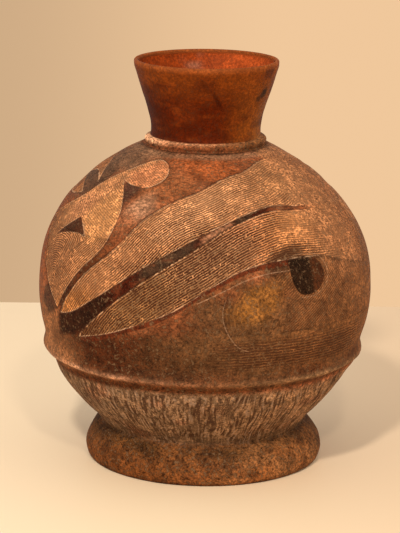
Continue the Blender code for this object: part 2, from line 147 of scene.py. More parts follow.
flare = [(WAIST_RADIUS + spread * (FOOT_RADIUS - WAIST_RADIUS), FOOT_LIP + rise * (FOOT_HEIGHT - FOOT_LIP))
         for rise, spread in FOOT_FLARE]
slope = FOOT_RADIUS - BASE_RADIUS
foot_lip = [(BASE_RADIUS, 0.0), (BASE_RADIUS + 0.46 * slope, 0.12 * FOOT_LIP),
            (BASE_RADIUS + 0.72 * slope, 0.34 * FOOT_LIP), (BASE_RADIUS + 0.95 * slope, 0.67 * FOOT_LIP)]
FOOT = curve_through(foot_lip + flare, 6)
collar_base = FOOT_HEIGHT + BODY_HEIGHT
COLLAR = curve_through([(SHOULDER_RADIUS, collar_base), (COLLAR_RADIUS - 0.0009, collar_base + 0.0004),
                        (COLLAR_RADIUS, collar_base + 0.4 * COLLAR_HEIGHT),
                        (COLLAR_RADIUS - 0.0004, collar_base + 0.7 * COLLAR_HEIGHT),
                        (COLLAR_RADIUS - 0.0022, collar_base + 0.9 * COLLAR_HEIGHT),
                        (NECK_RADIUS + 0.0005, collar_base + COLLAR_HEIGHT)], 6)
neck_base = collar_base + COLLAR_HEIGHT
NECK = curve_through([(NECK_RADIUS + out * (MOUTH_RADIUS - NECK_RADIUS), neck_base + rise * NECK_HEIGHT)
                      for rise, out in NECK_FLARE], 6)
half_lip = LIP_WALL / 2
lip_turn = np.linspace(0.0, math.pi, 7)
LIP = np.stack([MOUTH_RADIUS - half_lip + half_lip * np.cos(lip_turn),
                WHOLE_HEIGHT - half_lip + half_lip * np.sin(lip_turn)], axis=1)
WAIST_SHARE, RIDGE_LOW, DECOR_LOW = -RIDGE_ALONG / DECOR_LENGTH, -0.06, 0.06
FOOT_ROWS, COLLAR_ROWS, NECK_ROWS = 19, 11, 22
BOWL_ROWS = ((WAIST_SHARE, RIDGE_LOW, 33), (RIDGE_LOW, DECOR_LOW, 23), (DECOR_LOW, 1.0, 100))
bowl_rows = [np.stack(bowl_at(np.linspace(*part)[:-1]), axis=1) for part in BOWL_ROWS]
OUTSIDE = np.vstack([evenly(FOOT, FOOT_ROWS)[:-1], *bowl_rows, evenly(COLLAR, COLLAR_ROWS)[:-1],
                     evenly(NECK, NECK_ROWS), LIP])
outside_along = lengths_along(OUTSIDE)
# The finish counts its shares from this row, about 2 mm under the crest of the ridge
FIRST_ROW = 59
OUTSIDE_SHARE = (outside_along - outside_along[FIRST_ROW]) / DECOR_LENGTH
print("outside rows", len(OUTSIDE), "shares", OUTSIDE_SHARE[[0, -1]].round(3))

# %% The inside profile and the hollow under the foot
neck_walls = np.interp(NECK[:, 1], [NECK[0, 1], NECK[-1, 1]], [NECK_WALL, LIP_WALL])
INNER_NECK_ROWS, INNER_BOWL_ROWS = 14, 26
inner_neck = evenly(inside_of(NECK, neck_walls[:, None]), INNER_NECK_ROWS)
inner_bowl = inside_of(BOWL, WALL)
inner_bowl = evenly(inner_bowl[(inner_bowl[:, 1] > FOOT_HEIGHT + 0.6 * FLOOR + WALL)
                               & (inner_bowl[:, 0] > SHOULDER_RADIUS - WALL / 2)], INNER_BOWL_ROWS)
floor_middle = FOOT_HEIGHT - FOOT_ROOF_DROP + FLOOR
dish_share = np.array([0.84, 0.7, 0.55, 0.4, 0.25, 0.1])
dish = np.stack([inner_bowl[0, 0] * dish_share,
                 floor_middle + (inner_bowl[0, 1] - floor_middle) * dish_share ** 3], axis=1)
INSIDE = np.vstack([inner_neck[::-1], inner_bowl[::-1], dish])
roof = FOOT_HEIGHT - FOOT_ROOF_DROP
hollow_edge = BASE_RADIUS - FOOT_WALL
HOLLOW_SHAPE = ((1.0, 0.0), (0.96, 0.28), (0.87, 0.62), (0.66, 0.86), (0.34, 0.97), (0.0, 1.0))
UNDERSIDE = curve_through([(hollow_edge * out, roof * rise) for out, rise in HOLLOW_SHAPE], 4)[-2::-1]
print("inside rows", len(INSIDE), "underside rows", len(UNDERSIDE))

# %% [markdown]
# ## Unevenness of the hand
# Noise made for a flat picture would show a seam where the jar closes. These clouds are grids of random
# numbers that repeat once round the jar and are joined by smooth steps, so they have no seam, and the same
# seed gives the same jar every time.

# %% Clouds round the jar
LOWEST, HIGHEST = -0.7, 1.6


def cloud(degrees, share, around, up, seed):
    """Random values from -1 to 1 on a grid of cells round and up the jar, eased between with 3t^2 - 2t^3."""
    grid = np.random.default_rng(seed).uniform(-1.0, 1.0, (int(up * 2.4) + 4, around))
    x, y = degrees / 360.0 * around, (np.clip(share, LOWEST, HIGHEST) - LOWEST) * up
    column, row = np.floor(x).astype(int), np.floor(y).astype(int)
    across, rise = x - column, y - row
    across, rise = across * across * (3 - 2 * across), rise * rise * (3 - 2 * rise)
    left, right = column % around, (column + 1) % around
    low = grid[row, left] * (1 - across) + grid[row, right] * across
    high = grid[row + 1, left] * (1 - across) + grid[row + 1, right] * across
    return low * (1 - rise) + high * rise


def ramp(value, start, end):
    """0 before start, 1 after end, and 3t^2 - 2t^3 between."""
    t = np.clip((value - start) / (end - start), 0.0, 1.0)
    return t * t * (3 - 2 * t)


def stretch(value, start, full, fade, end):
    """0 outside start to end and 1 between full and fade, eased between."""
    return ramp(value, start, full) * (1 - ramp(value, fade, end))


def bell(value, middle, width):
    """1 at the middle, falling off as exp(-((v - middle) / width)^2)."""
    return np.exp(-((value - middle) / width) ** 2)


def round_from(degrees, middle):
    """Degrees from a middle, from -180 to 180."""
    return (degrees - middle + 180.0) % 360.0 - 180.0


# %% [markdown]
# ## The engraved figure
# On the jar a figure is cut back and hatched: a crested head and two long feathers, twice round the bowl.
# A painted picture of it would blur when seen close. Each outline is kept as a few smooth strokes instead, in
# degrees round the jar and shares of the way up, and every point of the skin is given its distance to them.
# A distance stays sharp when it is drawn, whatever the size of the picture.

# %% Outlines of the cut-back bands
CRESTED_HEAD = (
    ((-59, 0.243), (-54.9, 0.315), (-47.4, 0.42), (-40.3, 0.508), (-37.6, 0.60), (-37.8, 0.674),
     (-42.0, 0.756), (-47.8, 0.82)),
    ((-47.8, 0.82), (-42.0, 0.803), (-34.1, 0.795), (-27.8, 0.805), (-22.4, 0.854), (-22.8, 0.903),
     (-27.8, 0.942), (-36.2, 0.955), (-44.5, 0.918), (-55.3, 0.839), (-62.4, 0.766), (-67.8, 0.698),
     (-79.9, 0.61), (-86.0, 0.57)),
    ((-86.0, 0.57), (-84.0, 0.52), (-77.0, 0.47), (-72.5, 0.39), (-67.5, 0.33), (-59, 0.243)),
)
HEAD_NOTCH = (
    ((-58, 0.615), (-54.0, 0.583), (-49.9, 0.54)),
    ((-49.9, 0.54), (-54.9, 0.5495), (-61.2, 0.54), (-70.3, 0.513)),
    ((-70.3, 0.513), (-64.9, 0.562), (-58, 0.615)),
)
UPPER_FEATHER = (
    ((-57, 0.2266), (-49.9, 0.25), (-42, 0.3035), (-34.9, 0.357), (-24.1, 0.445), (-10, 0.545), (4.7, 0.631),
     (18.4, 0.689), (30.0, 0.714), (45.0, 0.700)),
    ((45.0, 0.700), (62, 0.688), (80, 0.672), (98, 0.6786), (108.4, 0.705)),
    ((108.4, 0.705), (98, 0.742), (86, 0.768)),
    ((86, 0.768), (98, 0.812), (108, 0.798), (115.0, 0.766)),
    ((115.0, 0.766), (108, 0.822), (98, 0.876), (75, 0.922), (45.8, 0.951), (24.7, 0.895), (11, 0.8616),
     (-3.7, 0.788), (-15, 0.7355), (-24.5, 0.659), (-34.9, 0.513), (-45.75, 0.396), (-53.7, 0.289),
     (-57, 0.2266)),
)
LOWER_FEATHER = (
    ((-47.4, 0.155), (-36.2, 0.1867), (-23.7, 0.24), (-10, 0.311), (1.6, 0.40), (14.7, 0.471),
     (30, 0.4956), (44, 0.492)),
    ((44, 0.492), (58, 0.45), (71.3, 0.415)),
    ((71.3, 0.415), (75.5, 0.53), (79.6, 0.648)),
    ((79.6, 0.648), (62, 0.668), (45, 0.680)),
    ((45, 0.680), (30, 0.692), (20, 0.671), (8.9, 0.625), (-5, 0.5325), (-20, 0.4205), (-32, 0.313),
     (-39.9, 0.235), (-47.4, 0.155)),
)
# What is painted and not cut: the dark line under the lower feather, and the eye that it ends in
DARK_LINE = (
    ((-47.4, 0.155), (-36.2, 0.1867), (-23.7, 0.24), (-10, 0.311), (1.6, 0.40), (14.7, 0.471), (31, 0.497)),
    ((31, 0.497), (32, 0.470)),
    ((32, 0.470), (24, 0.468), (14.7, 0.452), (4.7, 0.403), (-1.6, 0.362), (-10, 0.296), (-20, 0.236),
     (-27.8, 0.206), (-37, 0.162), (-44.5, 0.143), (-47.4, 0.155)),
)
EYE = (
    ((30, 0.470), (30.0, 0.446), (30.5, 0.409), (32.1, 0.3725), (34.2, 0.354), (37.9, 0.354), (41, 0.366),
     (43.2, 0.391), (44.2, 0.4156), (43.9, 0.446), (42.9, 0.471), (41, 0.489), (38.4, 0.4986), (33, 0.5),
     (30.5, 0.493), (30, 0.470)),
)
BACK_TURN = 180.0


def outline(strokes, spacing=0.004):
    """A closed outline as (degrees, share) points, made of smooth strokes whose ends are corners."""
    loop = []
    for stroke in strokes:
        smooth = curve_through(np.array(stroke) * (1.0, 100.0), 24) / (1.0, 100.0)
        radius = bowl_at(smooth[:, 1])[0]
        clay = np.stack([np.cumsum(np.gradient(np.radians(smooth[:, 0])) * radius),
                         smooth[:, 1] * DECOR_LENGTH], axis=1)
        along = lengths_along(clay)
        places = np.linspace(0.0, along[-1], max(2, int(round(along[-1] / spacing))), endpoint=False)
        loop.append(np.stack([np.interp(places, along, smooth[:, k]) for k in range(2)], axis=1))
    return np.vstack(loop)


# %% Distances to an outline and along a stroke
def to_outline(degrees, share, loop):
    """Distance on the clay to a closed outline, above zero inside it: nearest of all segments, in metres."""
    middle = (loop[:, 0].max() + loop[:, 0].min()) / 2
    turned = round_from(degrees, middle) + middle
    across = np.radians(1.0) * bowl_at(share)[0]
    nearest = np.full(degrees.shape, np.inf)
    crossings = np.zeros(degrees.shape, int)
    for (start_turn, start_share), (end_turn, end_share) in zip(loop, np.roll(loop, -1, axis=0)):
        ax, ay = (start_turn - turned) * across, (start_share - share) * DECOR_LENGTH
        run_x, run_y = (end_turn - start_turn) * across, (end_share - start_share) * DECOR_LENGTH
        t = np.clip(-(ax * run_x + ay * run_y) / (run_x ** 2 + run_y ** 2 + 1e-15), 0.0, 1.0)
        nearest = np.minimum(nearest, (ax + t * run_x) ** 2 + (ay + t * run_y) ** 2)
        if start_share != end_share:
            spans = (start_share > share) != (end_share > share)
            at = start_turn + (share - start_share) / (end_share - start_share) * (end_turn - start_turn)
            crossings += spans & (at > turned)
    return np.sqrt(nearest) * np.where(crossings % 2 == 1, 1.0, -1.0)


def beside(degrees, share, stroke, past=12):
    """Metres to the left of a stroke and along it; the stroke runs on straight for some steps."""
    line = curve_through(np.array(stroke) * (1.0, 100.0), 6) / (1.0, 100.0)
    if past:
        before, after = line[0] - past * (line[1] - line[0]), line[-1] + past * (line[-1] - line[-2])
        line = np.vstack([before, line, after])
    middle = (line[:, 0].max() + line[:, 0].min()) / 2
    turned = round_from(degrees, middle) + middle
    across = np.radians(1.0) * bowl_at(share)[0]
    nearest = np.full(degrees.shape, np.inf)
    side, along, gone = np.zeros(degrees.shape), np.zeros(degrees.shape), 0.0
    for start, end in zip(line, line[1:]):
        ax, ay = (start[0] - turned) * across, (start[1] - share) * DECOR_LENGTH
        run_x, run_y = (end[0] - start[0]) * across, (end[1] - start[1]) * DECOR_LENGTH
        size = np.hypot(run_x, run_y) + 1e-12
        t = np.clip(-(ax * run_x + ay * run_y) / size ** 2, 0.0, 1.0)
        away = (ax + t * run_x) ** 2 + (ay + t * run_y) ** 2
        closer = away < nearest
        nearest = np.where(closer, away, nearest)
        side = np.where(closer, np.sqrt(away) * np.sign(run_y * ax - run_x * ay), side)
        along = np.where(closer, gone + t * size, along)
        gone += float(np.median(size))
    return side, along


# %% [markdown]
# ## The skin
# One grid of rings goes from the foot up to the lip, fine enough that the cut-back bands are real steps in
# the clay. Inside the neck and under the foot nobody comes so close, so there the rings have a quarter of the
# points, and a strip of triangles joins the two.

# %% Grid of the outside
COLUMNS, COARSE = 432, 108
START_TURN = -90.0
column_degrees = START_TURN + np.arange(COLUMNS) * 360.0 / COLUMNS
DEGREES, SHARE = [grid.copy() for grid in np.meshgrid(column_degrees, OUTSIDE_SHARE)]
RADIUS = np.repeat(OUTSIDE[:, :1], COLUMNS, axis=1)
HEIGHT = np.repeat(OUTSIDE[:, 1:], COLUMNS, axis=1)
DECORATED = (SHARE > 0.0) & (SHARE < 1.0)
fronts = [round_from(DEGREES, 0.0), round_from(DEGREES, BACK_TURN)]
print("outside points", DEGREES.size)

# %% How far each point is inside the cut-back bands
loops = {name: outline(strokes) for name, strokes in
         (("head", CRESTED_HEAD), ("notch", HEAD_NOTCH), ("upper", UPPER_FEATHER), ("lower", LOWER_FEATHER),
          ("line", DARK_LINE), ("eye", EYE))}
inside = {name: [to_outline(degrees, SHARE, loop) for degrees in (fronts[:1] if name == "eye" else fronts)]
          for name, loop in loops.items()}
cut = np.full(DEGREES.shape, -1.0)
for k in range(2):
    head = np.minimum(inside["head"][k], -inside["notch"][k])
    cut = np.maximum(cut, np.maximum(head, np.maximum(inside["upper"][k], inside["lower"][k])))
cut = np.where(DECORATED, cut, -1.0)
painted_line = np.maximum(*inside["line"])
eye = inside["eye"][0]
print("points in the bands", int((cut > 0).sum()), "in the dark line", int((painted_line > 0).sum()))


# %% The form: ridge, lug, cut-back and the unevenness of the hand
def ridge_swell(degrees, share, height):
    """How far the ridge and its lug stand out: a bell curve, soft above its crest and sharp below it."""
    shift = 0.0007 * cloud(degrees, share * 0, 22, 2, 11) + 0.0004 * cloud(degrees, share * 0, 60, 2, 12)
    above = height - (RIDGE_HEIGHT - RIDGE_TILT * np.sin(np.radians(degrees))) + shift
    reach = np.where(above > 0, RIDGE_SOFT, RIDGE_SHARP)
    pinched = 1.0 + 0.12 * cloud(degrees, share * 0, 34, 2, 13)
    lug = bell(round_from(degrees, LUG_TURN), 0.0, LUG_SPREAD) * bell(above, -LUG_DROP, LUG_TALL)
    return RIDGE_PROUD * pinched * bell(above, 0.0, reach) + LUG_PROUD * lug


front, behind = fronts
on_bowl = stretch(SHARE, WAIST_SHARE, WAIST_SHARE + 0.08, 0.98, 1.0)
bowl_dents = 0.00022 * cloud(DEGREES, SHARE, 26, 9, 1) + 0.00012 * cloud(DEGREES, SHARE, 70, 24, 2)
scored = stretch(SHARE, WAIST_SHARE - 0.03, WAIST_SHARE + 0.06, -0.060, -0.030)
strokes_cut = 0.00055 * ramp(cloud(DEGREES + 30 * SHARE, SHARE, 180, 9, 3), 0.1, 0.85)
on_foot = (1 - ramp(SHARE, WAIST_SHARE - 0.05, WAIST_SHARE)) * ramp(HEIGHT, 0.0, 0.004)
foot_dents = 0.0005 * cloud(DEGREES, SHARE, 18, 6, 4) + 0.00018 * cloud(DEGREES, SHARE, 60, 22, 5) - 0.0004
on_collar = stretch(SHARE, 1.0, 1.012, 1.045, 1.06)
collar_dents = 0.0006 * cloud(DEGREES, SHARE * 0, 30, 2, 6) + 0.0003 * cloud(DEGREES, SHARE, 80, 40, 7)
on_neck = ramp(SHARE, 1.06, 1.09)
neck_dents = 0.00025 * cloud(DEGREES, SHARE, 12, 16, 8) + 0.00010 * cloud(DEGREES, SHARE, 30, 60, 9)
softened = 0.0035 * stretch(front, 44, 56, 84, 96) * (SHARE < 0.6)
burr = 0.00021 * bell(cut, 0.0, 0.0009) * (softened == 0)
radius = RADIUS + ridge_swell(DEGREES, SHARE, HEIGHT)
radius -= RELIEF * ramp(cut, -0.0002 - softened, BEVEL + softened) + burr
radius += on_bowl * bowl_dents - scored * strokes_cut + on_foot * foot_dents
radius += on_collar * (collar_dents - 0.0004) + on_neck * (neck_dents - 0.0002)
print("radius from", radius.min().round(4), "to", radius.max().round(4))


# %% Rings in space
def place(degrees, radius, height):
    """x = r sin, y = -r cos, with the lean of the axis and a wobble that goes three times round."""
    turn = np.radians(degrees)
    rise = height / WHOLE_HEIGHT
    sideways = np.interp(rise, [share for share, _ in LEAN], [shift for _, shift in LEAN])
    uneven = WOBBLE * np.sin(math.pi * rise) * np.sin(3 * turn + 9 * rise)
    radius = radius + np.where(radius > NECK_RADIUS / 2, uneven, 0.0)
    return np.stack([radius * np.sin(turn) + sideways, -radius * np.cos(turn), height], axis=-1)


coarse_degrees = column_degrees[::COLUMNS // COARSE]


def rings(line):
    """A coarse grid of points for a profile."""
    degrees, radii = np.meshgrid(coarse_degrees, line[:, 0])
    heights = np.repeat(line[:, 1:], COARSE, axis=1)
    return degrees, radii, heights


outer = place(DEGREES, radius, HEIGHT)
inner = place(*rings(INSIDE))
under = place(*rings(UNDERSIDE))
poles = place(np.zeros(2), np.zeros(2), np.array([roof, floor_middle]))
parts = [poles[:1], under.reshape(-1, 3), outer.reshape(-1, 3), inner.reshape(-1, 3), poles[1:]]
spots = np.vstack(parts)
starts = np.concatenate([[0], np.cumsum([len(part) for part in parts])])
middle = (spots.max(axis=0) + spots.min(axis=0)) / 2
shift = np.array([-middle[0], -middle[1], 0.0])
room = np.array(cad_high - cad_low) - 0.00005
fit = np.minimum(1.0, room / (spots.max(axis=0) - spots.min(axis=0)))
spots = (spots + shift) * fit
print("points", len(spots), "shift", shift.round(5), "fit", fit.round(5))


# %% Faces, and where each lies on the flat sheet that a finish can be baked to
def grid_faces(start, rows, columns):
    """Quads between neighbouring rings, as point numbers and as (row, column) of each corner."""
    row, column = np.meshgrid(np.arange(rows - 1), np.arange(columns), indexing="ij")
    corner_row = np.stack([row, row, row + 1, row + 1], axis=-1).reshape(-1, 4)
    corner_column = np.stack([column, column + 1, column + 1, column], axis=-1).reshape(-1, 4)
    return start + corner_row * columns + corner_column % columns, corner_row, corner_column


def joining_faces(coarse_start, fine_start, coarse_first):
    """Five triangles between each step of a coarse ring and the four steps of a fine ring beside it."""
    step = COLUMNS // COARSE
    offsets = ((0, 1, 0), (0, 2, 1), (0, 4, 2), (4, 3, 2), (4, 4, 3))
    fine_corners = ((0, 1, 1), (0, 1, 1), (0, 0, 1), (0, 1, 1), (0, 1, 1))
    columns = np.concatenate([step * np.arange(COARSE)[:, None] + three for three in offsets])
    on_fine = np.repeat(fine_corners, COARSE, axis=0)
    faces = np.where(on_fine, fine_start + columns % COLUMNS, coarse_start + columns // step % COARSE)
    if not coarse_first:
        faces, columns, on_fine = faces[:, ::-1], columns[:, ::-1], on_fine[:, ::-1]
    return faces, columns, on_fine


SHEET_MARGIN, UNDER_STRIP, INSIDE_STRIP = 0.005, (0.002, 0.014), (0.018, 0.046)
SHEET_ROWS = (-0.57, -0.07, 0.05, 1.0, 1.06, 1.42)
FRONT_SHEET = (0.47, 0.535, 0.585, 0.935, 0.945, 0.995)
BACK_SHEET = (0.055, 0.11, 0.15, 0.40, 0.41, 0.455)


def over_sheet(across):
    """A share from 0 to 1 as a place across the sheet, with a margin on either side."""
    return SHEET_MARGIN + (1 - 2 * SHEET_MARGIN) * across


def on_sheet(fine_column, share):
    """Sheet places of the outside: the front half above the back half, with most room for the decoration."""
    in_front = fine_column.mean(axis=-1, keepdims=True) < COLUMNS / 2
    across = (fine_column - np.where(in_front, 0, COLUMNS / 2)) / (COLUMNS / 2)
    up = np.where(in_front, *[np.interp(share, SHEET_ROWS, rows) for rows in (FRONT_SHEET, BACK_SHEET)])
    return np.stack([over_sheet(across), up], axis=-1)


def on_strip(coarse_column, row, rows, strip):
    """Sheet places of the inside and the underside: plain strips along the bottom of the sheet."""
    low, high = strip
    return np.stack([over_sheet(coarse_column / COARSE), low + (high - low) * row / rows], axis=-1)


under_faces, under_row, under_column = grid_faces(starts[1], len(UNDERSIDE), COARSE)
outer_faces, outer_row, outer_column = grid_faces(starts[2], len(OUTSIDE), COLUMNS)
inner_faces, inner_row, inner_column = grid_faces(starts[3], len(INSIDE), COARSE)
quads = np.concatenate([under_faces, outer_faces, inner_faces])
quad_sheet = np.concatenate([on_strip(under_column, under_row, len(UNDERSIDE), UNDER_STRIP),
                             on_sheet(outer_column, OUTSIDE_SHARE[outer_row]),
                             on_strip(inner_column, inner_row, len(INSIDE), INSIDE_STRIP)])
rim_ring = starts[1] + (len(UNDERSIDE) - 1) * COARSE
lip_ring = starts[2] + (len(OUTSIDE) - 1) * COLUMNS
low_join, low_columns, low_fine = joining_faces(rim_ring, starts[2], True)
high_join, high_columns, high_fine = joining_faces(starts[3], lip_ring, False)
k = np.arange(COARSE)[:, None]
low_fan = np.hstack([0 * k, starts[1] + (k + 1) % COARSE, starts[1] + k])
last_ring = starts[3] + (len(INSIDE) - 1) * COARSE
high_fan = np.hstack([last_ring + k, last_ring + (k + 1) % COARSE, 0 * k + starts[4]])
triangles = np.concatenate([low_join, high_join, low_fan, high_fan])
fan_columns = np.hstack([k + 0.5, k + 1, k])
triangle_sheet = np.concatenate([
    on_strip(low_columns * COARSE / COLUMNS, low_fine + len(UNDERSIDE) - 1, len(UNDERSIDE), UNDER_STRIP),
    on_strip(high_columns * COARSE / COLUMNS, -high_fine, len(INSIDE), INSIDE_STRIP),
    on_strip(fan_columns, np.zeros_like(fan_columns), 1, UNDER_STRIP),
    on_strip(fan_columns[:, ::-1], np.ones_like(fan_columns), 1, INSIDE_STRIP)])
mesh = bpy.data.meshes.new("vase_clay")
mesh.from_pydata(spots.tolist(), [], quads.tolist() + triangles.tolist())
sheet = mesh.uv_layers.new(name="OFBake")
sheet.data.foreach_set("uv", np.concatenate([quad_sheet.ravel(), triangle_sheet.ravel()]))
mesh.shade_smooth()
print("triangles", 2 * len(quads) + len(triangles), "valid", not mesh.validate())

# %% [markdown]
# ## Tones of the clay
# The colours come from slips of different thickness, from the fire and from wear, so they drift across the
# jar. A single colour with noise on it would lose that. Some tones are painted shade and painted light as
# well, such as the dark gap under the collar and the lit side of the neck. Each broad tone is laid on as a
# soft patch with a place, a size and a strength, the way a painter blocks in a picture, and is stored at the
# skin's points.

# %% Helpers for laying on tones
def tone(red, green, blue):
    """A screen colour of 0 to 255 as linear light, by the usual curve with its exponent of 2.4."""
    value = np.array([red, green, blue]) / 255.0
    return np.where(value <= 0.04045, value / 12.92, ((value + 0.055) / 1.055) ** 2.4)


def lay(colours, mask, screen_tone, strength):
    """Mixes a tone, given as on a screen, into colours: (1 - weight) colour + weight tone."""
    weight = np.clip(mask * strength, 0.0, 1.0)[..., None]
    return colours * (1.0 - weight) + tone(*screen_tone) * weight


def all_over(screen_tone):
    """One tone for every point of the outside."""
    return np.broadcast_to(tone(*screen_tone), DEGREES.shape + (3,)).copy()


def facing(middle, width):
    """A bell in degrees round the jar."""
    return bell(round_from(DEGREES, middle), 0.0, width)


def patch(degrees, middle, size, tilt, soft):
    """A soft ellipse on the clay: 1 in its middle and 0 past its edge, which a cloud makes ragged."""
    x = round_from(degrees, middle[0]) * np.radians(1.0) * BODY_RADIUS
    y = (SHARE - middle[1]) * DECOR_LENGTH
    c, s = math.cos(math.radians(tilt)), math.sin(math.radians(tilt))
    across, up = (x * c + y * s) / size[0], (-x * s + y * c) / size[1]
    reach = np.hypot(across, up) + 0.25 * cloud(degrees, SHARE, 40, 16, 20)
    return 1.0 - ramp(reach, 1.0 - soft, 1.0 + soft)


def lay_patches(colours, degrees, patches):
    """Lays on a table of patches: middle, size in metres, tilt, softness, tone, strength."""
    for middle, size, tilt, soft, screen_tone, strength in patches:
        colours = lay(colours, patch(degrees, middle, size, tilt, soft), screen_tone, strength)
    return colours


def lay_clouds(colours, where, clouds):
    """Lays on tones where clouds are high: cells round and up, seed, start, end, tone, strength."""
    for around, up, seed, start, end, screen_tone, strength in clouds:
        drift = ramp(cloud(DEGREES, SHARE, around, up, seed), start, end)
        colours = lay(colours, where * drift, screen_tone, strength)
    return colours


# %% The slipped ground of the bowl
ground = all_over((132, 73, 41))
ground = lay_clouds(ground, 1.0, (
    (20, 8, 31, -0.2, 0.9, (120, 64, 35), 0.7),
    (34, 14, 32, 0.2, 1.0, (166, 100, 63), 0.5),
))
ground = lay(ground, 1 - ramp(SHARE, 0.10, 0.26), (76, 40, 18), 0.92)
ground = lay_patches(ground, front, (
    ((-66, 0.10), (0.050, 0.026), 0, 0.5, (158, 104, 66), 0.9),
    ((-30, 0.12), (0.075, 0.020), 0, 0.5, (62, 29, 12), 0.9),
    ((2, 0.20), (0.060, 0.035), 30, 0.5, (78, 48, 26), 0.9),
    ((30, 0.24), (0.080, 0.045), 10, 0.5, (100, 67, 39), 0.9),
    ((18, 0.34), (0.026, 0.014), 20, 0.5, (136, 86, 34), 0.7),
    ((58, 0.30), (0.070, 0.060), -10, 0.5, (136, 88, 52), 0.9),
    ((48, 0.16), (0.060, 0.025), 0, 0.5, (114, 74, 42), 0.8),
    ((80, 0.45), (0.050, 0.090), 0, 0.5, (148, 96, 56), 0.9),
    ((-26, 0.90), (0.100, 0.022), 0, 0.5, (124, 70, 40), 0.8),
    ((0, 0.93), (0.060, 0.014), -8, 0.5, (152, 78, 38), 0.9),
    ((-22, 0.80), (0.035, 0.020), 10, 0.5, (132, 76, 42), 0.8),
))
ground = lay(ground, stretch(SHARE, 0.962, 0.985, 1.0, 1.01), (134, 94, 66), 0.75)
ground = lay_patches(ground, front, (
    ((-66, 0.93), (0.070, 0.020), 0, 0.5, (122, 88, 62), 0.8),
    ((-80, 0.86), (0.060, 0.030), 0, 0.5, (104, 72, 50), 0.8),
    ((-40, 0.765), (0.016, 0.018), -30, 0.35, (72, 44, 32), 0.95),
    # Painted sheen: the pale grey-tan patch between the head and the upper feather
    ((-29, 0.70), (0.020, 0.013), 30, 0.5, (170, 122, 90), 0.8),
    ((-33, 0.63), (0.012, 0.010), 40, 0.5, (138, 82, 50), 0.8),
))
ground = lay_patches(ground, behind, (
    ((20, 0.22), (0.160, 0.045), 6, 0.5, (112, 74, 44), 0.8),
    ((-30, 0.14), (0.090, 0.030), 0, 0.5, (88, 46, 22), 0.8),
    ((-20, 0.88), (0.120, 0.030), 0, 0.5, (128, 72, 38), 0.8),
    ((-42, 0.76), (0.016, 0.016), -30, 0.35, (72, 44, 32), 0.9),
))
print("ground laid", ground.reshape(-1, 3).mean(axis=0).round(3))

# %% Darker slip between the bands: under the head, between the feathers, the notch and the prongs
UNDER_HEAD = ((-58, 0.24), (-50, 0.36), (-42, 0.46), (-36, 0.56))
for k, degrees in enumerate(fronts):
    strip = 1 - ramp(np.abs(beside(degrees, SHARE, UNDER_HEAD)[0]), 0.004, 0.010)
    strip = strip * stretch(SHARE, 0.20, 0.30, 0.46, 0.60) * stretch(degrees, -66, -60, -36, -30)
    ground = lay(ground, strip, (86, 44, 20), 0.95)
    ground = lay(ground, strip * (1 - ramp(SHARE, 0.30, 0.42)), (60, 30, 16), 0.9)
    below = -beside(degrees, SHARE, UPPER_FEATHER[0])[0]
    uncut = (inside["upper"][k] < 0.0015) & (inside["lower"][k] < 0.0015)
    between = uncut * stretch(below, -0.001, 0.001, 0.016, 0.022) * stretch(degrees, -60, -56, 26, 34)
    ground = lay(ground, between, (60, 17, 4), 0.97)
    ground = lay(ground, between * (1 - ramp(degrees, -37, -30)), (40, 18, 7), 0.95)
    sooty = stretch(degrees, -25, -21, -6, -1) + stretch(degrees, 11, 13, 18, 21)
    ground = lay(ground, between * sooty, (58, 40, 26), 0.9)
    ground = lay(ground, between * stretch(degrees, -3, 1, 9, 12), (158, 106, 74), 0.85)
    worn = between * ramp(cloud(degrees, SHARE, 120, 50, 71), 0.15, 0.9) * ramp(degrees, -36, -30)
    ground = lay(ground, worn, (118, 64, 36), 0.4)
    ground = lay(ground, ramp(inside["notch"][k], -0.001, 0.0), (60, 32, 18), 0.95)
    ground = lay(ground, patch(degrees, (-66, 0.262), (0.013, 0.011), 0, 0.3), (68, 42, 30), 0.9)
    prongs = stretch(degrees, 84, 90, 118, 122) * stretch(SHARE, 0.66, 0.70, 0.84, 0.90)
    ground = lay(ground, prongs, (84, 58, 40), 0.85)
smudge = patch(front, (29, 0.495), (0.020, 0.008), 20, 0.5)
ground = lay(ground, smudge, (64, 40, 24), 0.9)
right_end = stretch(front, 44, 54, 96, 112) * ramp(SHARE, 0.34, 0.46)
ground = lay(ground, right_end, (162, 106, 66), 0.85)
print("points between the feathers", int((between > 0.5).sum()))

